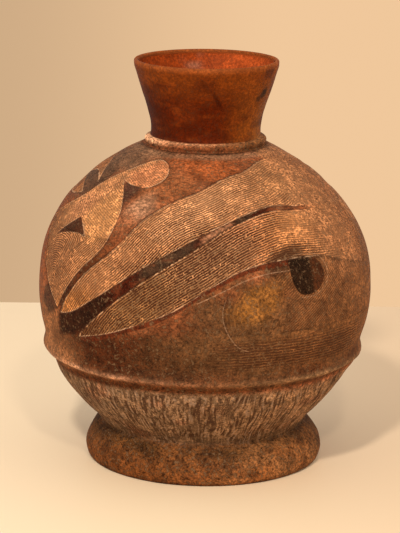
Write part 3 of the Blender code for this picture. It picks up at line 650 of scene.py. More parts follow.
# %% The hatched bands, paler because the slip is cut away
hatched = all_over((184, 124, 80))
hatched = lay_clouds(hatched, 1.0, (
    (22, 9, 41, -0.1, 0.8, (168, 112, 72), 0.7),
    (40, 18, 42, 0.1, 0.9, (198, 134, 86), 0.6),
    (14, 7, 43, 0.2, 0.9, (150, 104, 64), 0.6),
))
BAND_PATCHES = (
    ((-32, 0.87), (0.035, 0.020), 20, 0.4, (198, 124, 80), 0.9),
    ((-46, 0.66), (0.022, 0.028), -25, 0.4, (204, 140, 86), 0.9),
    ((-62, 0.66), (0.018, 0.014), 35, 0.5, (178, 118, 78), 0.8),
    ((-62, 0.44), (0.030, 0.026), 0, 0.5, (160, 106, 68), 0.8),
    ((-50, 0.27), (0.030, 0.012), 30, 0.4, (168, 106, 54), 0.75),
    ((-38, 0.21), (0.030, 0.010), 30, 0.5, (100, 60, 30), 0.95),
    ((-14, 0.40), (0.060, 0.020), 38, 0.5, (136, 96, 60), 0.95),
    ((-26, 0.30), (0.040, 0.014), 38, 0.5, (138, 94, 56), 0.8),
    ((12, 0.56), (0.050, 0.020), 24, 0.5, (198, 128, 84), 0.85),
    ((36, 0.60), (0.040, 0.022), 5, 0.5, (196, 128, 76), 0.8),
    ((3, 0.49), (0.036, 0.020), 30, 0.5, (150, 106, 70), 0.85),
    ((6, 0.75), (0.050, 0.018), 20, 0.5, (204, 142, 94), 0.8),
    ((-7, 0.67), (0.045, 0.017), 32, 0.5, (212, 150, 102), 0.8),
    ((40, 0.83), (0.045, 0.022), 0, 0.6, (164, 110, 68), 0.7),
    ((64, 0.60), (0.050, 0.050), 0, 0.6, (158, 106, 68), 0.8),
    ((80, 0.75), (0.050, 0.050), 0, 0.6, (150, 100, 62), 0.8),
)
for degrees in fronts:
    hatched = lay_patches(hatched, degrees, BAND_PATCHES)
hatched = lay(hatched, right_end, (163, 106, 66), 0.7)
hatched = lay(hatched, stretch(front, 62, 76, 96, 112), (146, 92, 56), 0.9)
hatched = lay(hatched, stretch(behind, 36, 70, 96, 112), (134, 82, 48), 0.85)
hatched = lay(hatched, smudge, (70, 44, 26), 0.9)
print("bands laid", hatched.reshape(-1, 3).mean(axis=0).round(3))

# %% The ridge and the scored body under it
left, right = facing(-54, 32), facing(50, 40)
ridge_above = HEIGHT - RIDGE_HEIGHT
on_ridge = bell(ridge_above, -0.0004, 0.0030)
pinches = 0.45 + 0.55 * ramp(cloud(DEGREES, SHARE, 110, 40, 57), -0.6, 0.5)
ground = lay(ground, on_ridge, (102, 54, 27), 0.85)
# The pale pinkish crest on the left is partly the clay's colour and partly a painted highlight on the ridge's
# top
ground = lay(ground, bell(ridge_above, 0.0008, 0.0026) * left * pinches, (222, 164, 126), 0.95)
ground = lay(ground, on_ridge * right, (150, 114, 80), 0.9)
lower_body = stretch(SHARE, WAIST_SHARE - 0.01, WAIST_SHARE + 0.03, -0.045, -0.026)
ground = lay(ground, lower_body, (128, 98, 72), 0.95)
ground = lay(ground, lower_body * right, (158, 116, 80), 0.7)
ground = lay_clouds(ground, lower_body, (
    (30, 12, 51, 0.0, 0.9, (112, 76, 50), 0.7),
    (44, 18, 58, 0.2, 0.9, (140, 82, 54), 0.4),
))
under_ridge = stretch(SHARE, -0.052, -0.036, -0.030, -0.018)
# Painted shade under the ridge on the left
ground = lay(ground, under_ridge * left, (76, 38, 20), 0.8)
ground = lay(ground, under_ridge * right, (150, 84, 52), 0.6)
print("ridge points", int((on_ridge > 0.5).sum()), "lower body points", int((lower_body > 0.5).sum()))

# %% The foot: patchy soot and painted shade at the waist, painted shade at the bottom edge
on_foot_tone = 1 - ramp(SHARE, WAIST_SHARE - 0.015, WAIST_SHARE + 0.02)
ground = lay(ground, on_foot_tone, (106, 60, 27), 1.0)
ground = lay(ground, on_foot_tone * right, (148, 98, 58), 0.85)
ground = lay_clouds(ground, on_foot_tone, (
    (26, 14, 52, -0.2, 0.8, (140, 82, 40), 0.7),
    (44, 24, 53, 0.2, 0.9, (92, 52, 26), 0.7),
))
# A patchy dark band at the waist, under the bowl's overhang: partly soot and partly painted shade
soot_and_shade = 0.6 + 0.4 * ramp(cloud(DEGREES, SHARE, 24, 20, 59), -0.5, 0.6)
ground = lay(ground, soot_and_shade * bell(HEIGHT, FOOT_HEIGHT - 0.003, 0.011), (68, 44, 20), 0.85)
# Painted shade at the bottom edge, where the lip rolls under towards the floor
ground = lay(ground, 1 - ramp(HEIGHT, 0.0, 0.0045), (70, 38, 20), 0.7)
print("foot points", int((on_foot_tone > 0.5).sum()))

# %% The collar, its gap, the neck and the lip
on_collar_tone = stretch(SHARE, 1.012, 1.022, 1.066, 1.072)
ground = lay(ground, on_collar_tone, (122, 68, 38), 1.0)
# The pale top of the roll on the left is partly pinkish clay and partly painted light on its upper side
ground = lay(ground, on_collar_tone * ramp(SHARE, 1.030, 1.048) * facing(-78, 30), (228, 170, 126), 0.95)
# Painted highlight along the crest of the roll
ground = lay(ground, on_collar_tone * bell(SHARE, 1.060, 0.0065) * facing(-20, 55), (202, 138, 97), 0.9)
ground = lay(ground, on_collar_tone * facing(70, 50), (136, 86, 44), 0.8)
# Painted shade on the lower half of the roll, which faces down
ground = lay(ground, bell(SHARE, 1.031, 0.010) * facing(0, 62), (92, 46, 24), 0.85)
# Painted shadow in the gap under the collar
ground = lay(ground, bell(SHARE, 1.013, 0.0085) * (0.5 + 0.5 * facing(12, 30)), (30, 16, 9), 1.0)
on_neck_tone = ramp(SHARE, 1.067, 1.073)
ground = lay(ground, on_neck_tone, (82, 24, 0), 1.0)
# Painted light on the neck's right half and a painted sheen at its right edge, painted shade on its left half
ground = lay(ground, on_neck_tone * stretch(front, 8, 55, 120, 170), (138, 72, 20), 0.85)
ground = lay(ground, on_neck_tone * stretch(front, 48, 78, 110, 160), (154, 96, 46), 0.7)
ground = lay(ground, on_neck_tone * stretch(front, -170, -120, -60, -25), (72, 24, 2), 0.7)
ground = lay(ground, on_neck_tone * ramp(SHARE, 1.20, 1.34), (130, 62, 14), 0.6)
ground = lay_patches(ground, front, (
    ((60.5, 1.264), (0.0130, 0.0052), 0, 0.4, (46, 32, 22), 0.95),
    ((60, 1.350), (0.0150, 0.0052), 0, 0.4, (56, 36, 24), 0.9),
    ((54, 1.243), (0.0090, 0.0040), 0, 0.5, (66, 38, 20), 0.8),
    ((10.5, 1.243), (0.0190, 0.0026), -30, 0.5, (56, 14, 1), 0.85),
    ((-20, 1.195), (0.0260, 0.0100), 0, 0.5, (108, 44, 10), 0.5),
))
ground = lay_clouds(ground, on_neck_tone, (
    (18, 30, 54, 0.0, 0.9, (66, 18, 1), 0.6),
    (24, 90, 55, 0.2, 1.0, (128, 56, 12), 0.55),
))
ground = lay(ground, ramp(SHARE, 1.355, 1.375), (150, 76, 32), 0.8)
print("whole outside laid", ground.reshape(-1, 3).mean(axis=0).round(3))

# %% Paint: the eye and the line that ends in it
eye_tone = lay(all_over((24, 13, 5)), ramp(front, 38.2, 40), (72, 37, 17), 0.9)
paint = np.where((eye > -0.002)[..., None], eye_tone, all_over((84, 36, 16)))
print("painted points", int(((eye > 0) | (painted_line > 0)).sum()))

# %% [markdown]
# ## Which way the hatching runs
# The hatching was drawn freehand with a point, line beside line, along each feather and round the crest of
# the head. A texture of straight stripes could not follow it. Each point is given two numbers: which line of
# the hatching it is on, counted from the feather's edge, and how far along that line it lies.

# %% Line numbers for the hatching of the field
# PITCH is the gap between lines, and ARC the metres counted along a round line for each radian of it
PITCH, ARC = 0.0020, 0.02
weave = np.zeros(DEGREES.shape + (3,))


def slanted(x, y, degrees):
    """Distances across and along lines that rise at an angle."""
    c, s = math.cos(math.radians(degrees)), math.sin(math.radians(degrees))
    return y * c - x * s, x * c + y * s


def weave_in(where, across, along, strength):
    """Gives the points of a region their line number, their place along the line and its strength."""
    for k, values in enumerate((across / PITCH, along, strength)):
        weave[..., k] = np.where(where, values, weave[..., k])


x, y = np.radians(front) * BODY_RADIUS, SHARE * DECOR_LENGTH
in_field = stretch(front, 0, 30, 95, 110) * ramp(SHARE, 0.08, 0.20) * (SHARE < 0.62)
worn_off = ramp(np.abs(cloud(DEGREES, SHARE, 24, 10, 61)), 0.2, 0.8)
weave_in(True, *slanted(x, y, 38), 0.75 * in_field * (1 - worn_off))
OVAL_PITCH, OVAL_RADIUS = 0.0030, 0.029
oval_x, oval_y = x - np.radians(17) * BODY_RADIUS, y - 0.30 * DECOR_LENGTH
oval = np.hypot(oval_x, oval_y * 0.80)
open_side = 1 - 0.8 * ramp(oval_x + 0.6 * oval_y, -0.006, 0.012)
weave_in((oval < OVAL_RADIUS) & (np.abs(front) < 60), oval * PITCH / OVAL_PITCH,
         np.arctan2(oval_y, oval_x) * ARC, 0.42 * open_side * ramp(oval, 0.006, 0.020))
across_ridge = stretch(SHARE, 0.05, 0.09, 0.16, 0.22) * stretch(front, -5, 15, 60, 80)
weave_in(across_ridge > 0.02, y / 1.3, x, across_ridge)
print("field points with lines", int((weave[..., 2] > 0.1).sum()))

# %% Line numbers for the feathers and the crested head
FEATHERS = (("upper", UPPER_FEATHER, 0.04, 0.80), ("lower", LOWER_FEATHER, 0.20, 1.05))
for k, degrees in enumerate(fronts):
    scuffed = patch(degrees, (-11, 0.52), (0.052, 0.036), 30, 0.6)
    fading = ramp(degrees + 12 * cloud(degrees, SHARE, 30, 14, 62), 32, 56)
    uneven = 0.2 * cloud(degrees, SHARE, 40, 20, 63) + 0.35 * scuffed
    for name, feather, fan, firm in FEATHERS:
        off_edge, run = beside(degrees, SHARE, feather[4][::-1])
        steeper = fan * np.minimum(run, 0.09)
        weave_in(inside[name][k] > -0.001, np.abs(off_edge) + steeper, run * 1.15,
                 (firm + uneven) * (1.0 - 0.82 * fading))
    x = np.radians(degrees) * BODY_RADIUS
    in_head = inside["head"][k] > -0.001
    crest_side, crest_along = beside(degrees, SHARE, CRESTED_HEAD[0])
    lobe_x, lobe_y = x - np.radians(-64) * BODY_RADIUS, y - 0.36 * DECOR_LENGTH
    weave_in(in_head, np.hypot(lobe_x, lobe_y) + 0.0007, np.arctan2(lobe_y, lobe_x) * ARC, 0.9)
    weave_in(in_head & (np.abs(crest_side) < 0.022), np.abs(crest_side), crest_along, 0.9)
    weave_in(in_head & (SHARE > 0.55), *slanted(x, y, -20), 0.45)
weave[..., 2] *= (SHARE > 0.06) & (SHARE < 0.98)
print("all points with lines", int((weave[..., 2] > 0.1).sum()))


# %% Thin lines drawn with a point, pale where they scratch slip away and dark where dirt fills them
PALE_LINES = (
    ((31.5, 0.504), (35.3, 0.509), (39, 0.507), (42.6, 0.496), (44.9, 0.472), (45.9, 0.445), (46.0, 0.415),
     (44.8, 0.386), (41.9, 0.358), (38.4, 0.345), (34.5, 0.344)),
    ((-2, 0.345), (6, 0.388), (14, 0.428), (22, 0.448), (29.5, 0.452)),
    ((6.5, 0.345), (5.8, 0.305), (6.8, 0.25), (8.9, 0.206), (11.6, 0.17), (15, 0.152)),
)
DARK_LINES = (
    ((-22, 0.672), (-20, 0.68), (-14, 0.742), (-10.5, 0.766)),
    ((30, 0.712), (35, 0.716), (40.5, 0.703), (45, 0.680), (47.5, 0.664)),
    ((80, 0.72), (77.5, 0.63), (75, 0.53), (71, 0.41)),
    ((28, 0.176), (34, 0.186), (38, 0.195), (44, 0.215)),
)
NEAR_LINE = 2.8


def nearest_line(strokes):
    """Millimetres to the left of the nearest stroke, and 1 close to it. The sign lets the line stay thin."""
    nearest = np.full(DEGREES.shape, 20.0)
    for stroke in strokes:
        off_line = 1000 * beside(front, SHARE, stroke, 0)[0]
        nearest = np.where(np.abs(off_line) < np.abs(nearest), off_line, nearest)
    return np.stack([nearest, 1 - ramp(np.abs(nearest), NEAR_LINE, NEAR_LINE + 1), 0 * nearest], axis=-1)


print("thin lines", len(PALE_LINES), "pale and", len(DARK_LINES), "dark")

# %% [markdown]
# ## Storing the finish on the skin
# Named attributes travel with the mesh, so the finish needs no picture files and turns with the jar.

# %% Helpers for storing values
def whole(outside_values, inside_values=0.0, under_values=0.0):
    """Values in the order of the skin: pole, underside, outside, inside, pole. One value fills a surface."""
    size = outside_values[0, 0].size
    rows = []
    for values, grid in ((under_values, under), (outside_values, outer), (inside_values, inner)):
        values = np.reshape(values, (-1, size)) if np.ndim(values) > 1 else values
        rows.append(np.broadcast_to(values, (grid[..., 0].size, size)))
    return np.concatenate([rows[0][:1], *rows, rows[2][-1:]])


def store(name, kind, values):
    """Stores an array at the mesh's points under a name."""
    layer = mesh.attributes.new(name, kind, "POINT")
    if kind == "FLOAT_COLOR":
        values = np.hstack([values, np.ones((len(values), 1))])
    slot = {"FLOAT_COLOR": "color", "FLOAT_VECTOR": "vector", "FLOAT": "value"}[kind]
    layer.data.foreach_set(slot, values.ravel().astype(np.float32))


def flow_of(degrees, radius, up):
    """Where grain is looked up: x = r sin, y = -r cos, so that it is not stretched anywhere."""
    turn = np.radians(degrees)
    return np.stack([radius * np.sin(turn), -radius * np.cos(turn), up], axis=-1)


# %% The inside: red near the lip, painted shade below and painted light on one side, chipped in one place
inside_degrees, _, inside_height = rings(INSIDE)
# Painted shade: the inside gets darker deeper down from the lip; lit_side is painted light on the back right
# wall
shade_with_depth = ramp(WHOLE_HEIGHT - inside_height, 0.0, 0.075)[..., None]
inside_ground = tone(148, 58, 14) * (1 - shade_with_depth) + tone(84, 34, 10) * shade_with_depth
lit_side = 0.9 * stretch(round_from(inside_degrees, 150), -70, -30, 0, 50)[..., None]
inside_ground = inside_ground * (1 - lit_side) + tone(192, 84, 34) * (1 - 0.6 * shade_with_depth) * lit_side
chipped = bell(round_from(inside_degrees, -169), 0.0, 8.0) * bell(inside_height, WHOLE_HEIGHT - 0.012, 0.009)
chipped *= ramp(cloud(inside_degrees, inside_height / WHOLE_HEIGHT, 60, 90, 64), -0.5, 0.3)
inside_ground = lay(inside_ground, chipped, (166, 112, 84), 0.75)
print("chipped points", int((chipped > 0.5).sum()))

# %% Attributes of the skin
FAR = -20.0
INSIDE_MASKS = (0.0, 0.85, 0.0)
store("ground", "FLOAT_COLOR", whole(ground, inside_ground, tone(104, 62, 38)))
store("hatched", "FLOAT_COLOR", whole(hatched))
store("paint", "FLOAT_COLOR", whole(paint))
store("weave", "FLOAT_VECTOR", whole(weave))
store("pale_line", "FLOAT_VECTOR", whole(nearest_line(PALE_LINES)))
store("dark_line", "FLOAT_VECTOR", whole(nearest_line(DARK_LINES)))
store("cut_mm", "FLOAT", whole(cut * 1000, FAR, FAR))
painted = np.maximum(painted_line, np.maximum(eye, -0.02))
store("paint_mm", "FLOAT", whole(painted * 1000, FAR, FAR))
store("flow", "FLOAT_VECTOR", whole(
    flow_of(DEGREES, RADIUS, SHARE * DECOR_LENGTH), flow_of(*rings(INSIDE)), flow_of(*rings(UNDERSIDE))))
polished = ramp(SHARE, 1.067, 1.075) * 0.9 + DECORATED * 0.45 * (1 - ramp(cut, -0.0005, 0.0005))
edge_seen = ramp(SHARE, 0.0, 0.1) * DECORATED * (1 - 0.95 * stretch(front, 38, 50, 92, 94))
store("masks", "FLOAT_VECTOR", whole(np.stack([scored, polished, edge_seen], axis=-1), INSIDE_MASKS))
print("attributes", len(mesh.attributes))

# %% [markdown]
# ## The fired clay
# Earthenware is rough and grainy, a little polished where its slip was rubbed with a pebble. The principled
# shader describes that with a base colour, a roughness and bumps. The attributes say where everything is, and
# three groups add what is finer than the skin's points: the hatching, the scoring and the grain.


# %% Helpers for shader nodes
class Sheet:
    """Adds nodes to a tree in few words, and joins their sockets."""

    def __init__(self, tree):
        self.tree, self.nodes, self.links, self.count = tree, tree.nodes, tree.links, 0

    def add(self, kind, **settings):
        node = self.nodes.new(kind)
        node.location = (220 * (self.count % 8), -240 * (self.count // 8))
        self.count += 1
        for name, value in settings.items():
            setattr(node, name, value)
        return node

    def put(self, socket, value):
        if hasattr(value, "is_output"):
            self.links.new(value, socket)
        else:
            socket.default_value = value

    def math(self, operation, a, b=0.0):
        node = self.add("ShaderNodeMath", operation=operation)
        for socket, value in zip(node.inputs, (a, b)):
            self.put(socket, value)
        return node.outputs[0]

    def plus(self, *values):
        return functools.reduce(lambda a, b: self.math("ADD", a, b), values)

    def times(self, *values):
        return functools.reduce(lambda a, b: self.math("MULTIPLY", a, b), values)

    def minus(self, a, b):
        return self.math("SUBTRACT", a, b)

    def size(self, value):
        return self.math("ABSOLUTE", value)

    def ramp(self, value, start, end, low=0.0, high=1.0):
        node = self.add("ShaderNodeMapRange", interpolation_type="SMOOTHSTEP")
        for socket, given in zip(node.inputs, (value, start, end, low, high)):
            self.put(socket, given)
        return node.outputs[0]

    def mix(self, weight, a, b, blend="MIX"):
        """Mixes two colours; one written as three numbers is opaque."""
        node = self.add("ShaderNodeMix", data_type="RGBA", blend_type=blend)
        self.put(node.inputs["Factor"], weight)
        for socket, value in ((node.inputs[6], a), (node.inputs[7], b)):
            self.put(socket, (*value, 1.0) if isinstance(value, tuple) else value)
        return node.outputs[2]

    def noise(self, place, scale, detail=2.0, roughness=0.5):
        node = self.add("ShaderNodeTexNoise", noise_dimensions="3D")
        given = {"Vector": place, "Scale": scale, "Detail": detail, "Roughness": roughness}
        for name, value in given.items():
            self.put(node.inputs[name], value)
        return node.outputs[0]

    def vector_math(self, operation, a, b):
        node = self.add("ShaderNodeVectorMath", operation=operation)
        self.put(node.inputs[0], a)
        self.put(node.inputs[1], b)
        return node.outputs[0]

    def join(self, x, y, z):
        node = self.add("ShaderNodeCombineXYZ")
        for socket, value in zip(node.inputs, (x, y, z)):
            self.put(socket, value)
        return node.outputs[0]

    def split(self, vector):
        node = self.add("ShaderNodeSeparateXYZ")
        self.put(node.inputs[0], vector)
        return node.outputs

    def attribute(self, name, output):
        return self.add("ShaderNodeAttribute", attribute_name=name).outputs[output]


def new_group(name, wanted, given):
    """An empty node group: "Flow" and "Weave" go in as vectors, all else in and out as numbers."""
    group = bpy.data.node_groups.new(name, "ShaderNodeTree")
    for label in wanted:
        kind = "NodeSocketVector" if label in ("Flow", "Weave") else "NodeSocketFloat"
        group.interface.new_socket(label, in_out="INPUT", socket_type=kind)
    for label in given:
        group.interface.new_socket(label, in_out="OUTPUT", socket_type="NodeSocketFloat")
    page = Sheet(group)
    return group, page, page.add("NodeGroupInput").outputs, page.add("NodeGroupOutput").inputs


# %% Hatching: scratched lines that break into dashes
hatching, page, given, result = new_group("Hatching", ("Weave", "Flow"), ("Groove", "Land"))
line_place, along, strength = page.split(given["Weave"])
sway = page.times(page.minus(page.noise(given["Flow"], 140.0, 1.0), 0.5), 0.9)
swayed = page.plus(line_place, sway)
line_number = page.math("FLOOR", page.plus(swayed, 0.5))
off_line = page.size(page.minus(swayed, line_number))
dash_place = page.join(page.times(along, 330.0), page.times(line_number, 7.31), 0.0)
dash = page.ramp(page.noise(dash_place, 1.0, 2.0), 0.28, 0.46)
spread = page.ramp(strength, 0.5, 1.4, 0.67, 0.80)
width = page.times(page.noise(given["Flow"], 420.0, 1.0), spread)
groove = page.ramp(off_line, width, page.minus(width, 0.16))
page.put(result["Groove"], page.times(groove, dash, strength))
page.put(result["Land"], page.times(page.ramp(off_line, 0.28, 0.5), strength))
print("group", hatching.name, len(hatching.nodes), "nodes")

# %% Scoring: short strokes down the lower body, looked up on a cylinder so that they do not fan out
CYLINDER = 0.12
scoring, page, given, result = new_group("Scoring", ("Flow", "Amount"), ("Stroke", "Pale"))
x, y, up = page.split(given["Flow"])
girth = page.math("DIVIDE", CYLINDER, page.math("SQRT", page.plus(page.times(x, x), page.times(y, y))))
around = page.join(page.times(x, girth), page.times(y, girth), up)
bent = page.times(page.minus(page.noise(around, 26.0, 1.0), 0.5), 0.014)
pushed = page.vector_math("ADD", around, page.join(bent, bent, 0.0))
drawn_down = page.vector_math("MULTIPLY", pushed, (1.0, 1.0, 0.11))
scratch = page.times(page.noise(drawn_down, 500.0, 1.0, 0.55), 0.78)
scratch = page.plus(scratch, page.times(page.noise(given["Flow"], 300.0, 3.0, 0.6), 0.22))
come_and_go = page.ramp(page.noise(given["Flow"], 60.0, 2.0), 0.34, 0.54, 0.45, 1.0)
amount = page.times(given["Amount"], come_and_go)
page.put(result["Stroke"], page.times(page.ramp(scratch, 0.50, 0.58), amount))
page.put(result["Pale"], page.times(page.ramp(scratch, 0.47, 0.36), amount))
print("group", scoring.name, len(scoring.nodes), "nodes")

# %% Grain: pits, pale dust and drifts of tone
grain, page, given, result = new_group("Grain", ("Flow",), ("Drift", "Speck", "Pits", "Dust", "Height"))
fine = page.noise(given["Flow"], 1000.0, 2.0, 0.6)
medium = page.noise(given["Flow"], 420.0, 2.0, 0.6)
coarse = page.noise(given["Flow"], 220.0, 3.0, 0.6)
page.put(result["Drift"], page.noise(given["Flow"], 75.0, 6.0, 0.72))
page.put(result["Speck"], page.plus(page.times(fine, 0.40), page.times(medium, 0.60)))
page.put(result["Pits"], page.ramp(fine, 0.54, 0.66))
page.put(result["Dust"], page.times(page.ramp(coarse, 0.40, 0.64), page.ramp(medium, 0.49, 0.37)))
page.put(result["Height"], page.plus(page.times(fine, 0.35), page.times(coarse, 0.65)))
print("group", grain.name, len(grain.nodes), "nodes")


# %% The material: slip, bands and paint
def use(page, group, **inputs):
    """Adds a group to a material and joins its inputs."""
    node = page.add("ShaderNodeGroup")
    node.node_tree = group
    for name, value in inputs.items():
        page.put(node.inputs[name], value)
    return node.outputs


clay = bpy.data.materials.new("fired_clay")
clay.use_nodes = True
page = Sheet(clay.node_tree)
shader = page.nodes["Principled BSDF"]
flow = page.attribute("flow", "Vector")
cut_mm, paint_mm = page.attribute("cut_mm", "Fac"), page.attribute("paint_mm", "Fac")
scored_here, polish, edge_here = page.split(page.attribute("masks", "Vector"))
hatch = use(page, hatching, Weave=page.attribute("weave", "Vector"), Flow=flow)
score = use(page, scoring, Flow=flow, Amount=scored_here)
grit = use(page, grain, Flow=flow)
ragged = page.times(page.minus(page.noise(flow, 420.0, 1.0), 0.5), 0.7)
cut_edge = page.plus(cut_mm, ragged)
in_band = page.ramp(cut_edge, -0.2, 0.2)
in_paint = page.ramp(page.plus(paint_mm, page.times(ragged, 1.6)), -0.5, 0.5)
colour = page.mix(in_band, page.attribute("ground", "Color"), page.attribute("hatched", "Color"))
worn_paint = page.times(in_paint, page.ramp(grit["Drift"], 0.30, 0.42, 0.78, 0.98))
colour = page.mix(worn_paint, colour, page.attribute("paint", "Color"))
drifted = page.ramp(grit["Drift"], 0.35, 0.65, 0.58, 1.46)
specked = page.times(drifted, page.ramp(grit["Speck"], 0.39, 0.61, 0.30, 1.80))
calm_band = page.times(in_band, page.ramp(grit["Drift"], 0.46, 0.56, 0.42, -0.10))
calm = page.plus(page.ramp(polish, 0.1, 1.0, 0.0, 0.62), calm_band)
specked = page.plus(page.times(specked, page.minus(1.0, calm)), calm)
colour = page.mix(1.0, colour, page.join(specked, specked, specked), "MULTIPLY")
print("material", clay.name, len(page.nodes), "nodes so far")

# %% Edges of the bands and thin lines
EDGE_PALE, EDGE_SHADE = (0.70, 0.40, 0.22), (0.07, 0.025, 0.012)
LINE_PALE, LINE_DARK = (0.60, 0.35, 0.20), (0.10, 0.032, 0.014)
near_edge = page.ramp(page.size(page.plus(cut_edge, -0.2)), 0.75, 0.25)
near_edge = page.times(near_edge, page.ramp(page.noise(flow, 90.0, 2.0), 0.38, 0.56), edge_here)
colour = page.mix(page.times(near_edge, 0.62), colour, EDGE_PALE)
pale_off, pale_close, _ = page.split(page.attribute("pale_line", "Vector"))
dark_off, dark_close, _ = page.split(page.attribute("dark_line", "Vector"))
pale_here = page.ramp(page.size(page.plus(pale_off, ragged)), 0.65, 0.2)
pale_here = page.times(pale_here, pale_close, page.ramp(grit["Speck"], 0.40, 0.56, 0.12, 0.50))
dark_here = page.ramp(page.size(page.plus(dark_off, ragged)), 0.95, 0.25)
colour = page.mix(pale_here, colour, LINE_PALE)
colour = page.mix(page.times(dark_here, dark_close, 0.60), colour, LINE_DARK)
# Painted shade: a dark line just outside the edge of each band
outer_edge = page.times(page.ramp(page.size(page.plus(cut_edge, 0.8)), 0.6, 0.15), edge_here)
colour = page.mix(page.times(outer_edge, 0.40), colour, EDGE_SHADE)
print("material", clay.name, len(page.nodes), "nodes so far")

# %% Lines, strokes, pits and dust over the tones, then roughness and bumps
# The lands between hatched grooves get a painted highlight; the grooves get dark fill and painted shade
LAND_HIGHLIGHT, GROOVE_DIRT_AND_SHADE, STROKE_DIRT = (1.30, 1.27, 1.24), (0.070, 0.024, 0.010), (0.062, 0.027, 0.014)
STROKE_PALE, PIT_DIRT, DUST = (0.50, 0.33, 0.23), (0.05, 0.016, 0.007), (0.38, 0.21, 0.10)
colour = page.mix(hatch["Land"], colour, page.mix(1.0, colour, LAND_HIGHLIGHT, "MULTIPLY"))
groove_here = page.times(hatch["Groove"], page.minus(1.0, page.times(in_paint, 0.8)))
dusty = page.ramp(polish, 0.9, 0.3, 0.04, 0.42)
for where, amount, over in ((groove_here, 0.86, GROOVE_DIRT_AND_SHADE), (score["Stroke"], 0.90, STROKE_DIRT),
                            (score["Pale"], 0.36, STROKE_PALE), (grit["Pits"], 0.62, PIT_DIRT),
                            (grit["Dust"], dusty, DUST)):
    colour = page.mix(page.times(where, amount), colour, over)
page.put(shader.inputs["Base Color"], colour)
rough = page.minus(page.ramp(grit["Drift"], 0.3, 0.7, 0.66, 0.80), page.times(polish, 0.12))
page.put(shader.inputs["Roughness"], rough)
shader.inputs["Specular IOR Level"].default_value = 0.05
height = page.plus(page.times(groove_here, -0.00035), page.times(score["Stroke"], -0.0006),
                   page.times(grit["Height"], 0.0008), page.times(near_edge, -0.0002))
bump = page.add("ShaderNodeBump")
page.put(bump.inputs["Height"], height)
page.put(bump.inputs["Distance"], 1.0)
page.put(bump.inputs["Strength"], 0.8)
page.put(shader.inputs["Normal"], bump.outputs[0])
mesh.materials.append(clay)
print("material", clay.name, len(page.nodes), "nodes")

# %% The piece takes the solid's place
vase = bpy.data.objects.new("vase_clay", mesh)
bpy.context.scene.collection.objects.link(vase)
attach(vase, "root")
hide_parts("pottery_vase")
print("piece", vase.name, [round(v, 4) for v in vase.dimensions])

# %% [markdown]
# ## A plain studio
# A pale floor with painted shade towards the right, even light from all round and two large lamps above,
# so that nothing but the jar is drawn.

# %% Floor
FLOOR_SIDE, FLOOR_FRONT, FLOOR_BACK = 1.6, 1.6, 0.54
floor_mesh = bpy.data.meshes.new("floor")
floor_mesh.from_pydata([(-FLOOR_SIDE, -FLOOR_FRONT, 0), (FLOOR_SIDE, -FLOOR_FRONT, 0),
                        (FLOOR_SIDE, FLOOR_BACK, 0), (-FLOOR_SIDE, FLOOR_BACK, 0)], [], [(0, 1, 2, 3)])
floor = bpy.data.objects.new("floor", floor_mesh)
bpy.context.scene.collection.objects.link(floor)
plain = bpy.data.materials.new("floor_plain")
plain.use_nodes = True
surface = Sheet(plain.node_tree)
floor_shader = surface.nodes["Principled BSDF"]
# Painted shade: the floor gets darker and warmer towards the right
across_floor = surface.split(surface.add("ShaderNodeTexCoord").outputs["Object"])[0]
floor_tone_and_shade = surface.mix(surface.ramp(across_floor, -0.05, 0.32), (0.98, 0.765, 0.51), (0.86, 0.60, 0.37))
surface.put(floor_shader.inputs["Base Color"], floor_tone_and_shade)
floor_shader.inputs["Roughness"].default_value = 0.6
floor_mesh.materials.append(plain)
print("floor", [round(v, 2) for v in floor.dimensions])

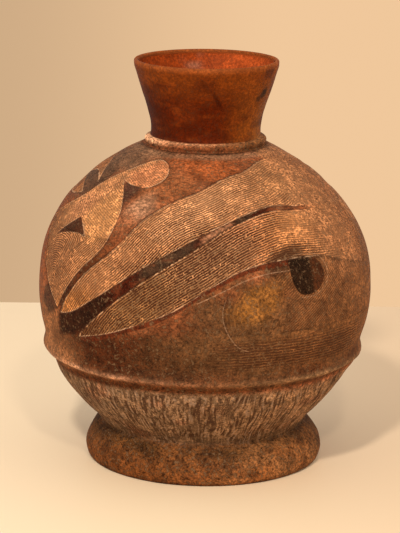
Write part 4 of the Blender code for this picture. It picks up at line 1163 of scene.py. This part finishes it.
# %% Light from all round, and what the camera sees behind the floor
world = bpy.data.worlds.new("studio")
bpy.context.scene.world = world
world.use_nodes = True
studio = Sheet(world.node_tree)
lit, seen = studio.nodes["Background"], studio.add("ShaderNodeBackground")
lit.inputs["Color"].default_value = (0.90, 0.84, 0.77, 1.0)
lit.inputs["Strength"].default_value = 0.80
sight = studio.add("ShaderNodeTexCoord").outputs["Generated"]
wall = studio.mix(studio.ramp(studio.split(sight)[0], -0.10, 0.04), (0.62, 0.41, 0.235), (0.87, 0.575, 0.33))
studio.put(seen.inputs["Color"], wall)
seen.inputs["Strength"].default_value = 1.0
choose = studio.add("ShaderNodeMixShader")
seen_directly = studio.add("ShaderNodeLightPath").outputs["Is Camera Ray"]
for socket, source in zip(choose.inputs, (seen_directly, lit.outputs[0], seen.outputs[0])):
    studio.put(socket, source)
studio.put(studio.nodes["World Output"].inputs["Surface"], choose.outputs[0])
print("world", len(studio.nodes), "nodes")


# %% Two lamps above, and the camera
def lamp(name, spot, power, size, colour):
    """A square lamp that looks at the middle of the jar."""
    light = bpy.data.lights.new(name, "AREA")
    light.energy, light.size, light.color = power, size, colour
    holder = bpy.data.objects.new(name, light)
    holder.location = spot
    holder.rotation_euler = (Vector((0, 0, 0.16)) - Vector(spot)).to_track_quat("-Z", "Y").to_euler()
    bpy.context.scene.collection.objects.link(holder)


lamp("lamp_left", (-0.45, -1.7, 1.75), 28.0, 0.16, (1.0, 0.94, 0.87))
lamp("lamp_right", (0.25, -1.9, 1.70), 9.5, 0.16, (1.0, 0.92, 0.80))
# The lens and the place were fitted to a picture 533 pixels tall; angles are in degrees
FOCAL_PIXELS, TALL_PIXELS, SENSOR = 2300, 533, 36
CAMERA_DOWN, CAMERA_ROLL, CAMERA_SPOT = 13.291, 0.674, Vector((-0.0036, -2.007, 0.6464))
camera_data = bpy.data.cameras.new("camera")
camera_data.lens = FOCAL_PIXELS * SENSOR / TALL_PIXELS
camera_data.sensor_width = SENSOR
camera = bpy.data.objects.new("camera", camera_data)
bpy.context.scene.collection.objects.link(camera)
tilt = Matrix.Rotation(math.radians(90 - CAMERA_DOWN), 4, "X")
roll = Matrix.Rotation(math.radians(CAMERA_ROLL), 4, "Z")
camera.matrix_world = Matrix.Translation(CAMERA_SPOT + Vector(shift)) @ tilt @ roll
bpy.context.scene.camera = camera
bpy.context.scene.view_settings.view_transform = "Standard"
print("lens", round(camera_data.lens, 1))
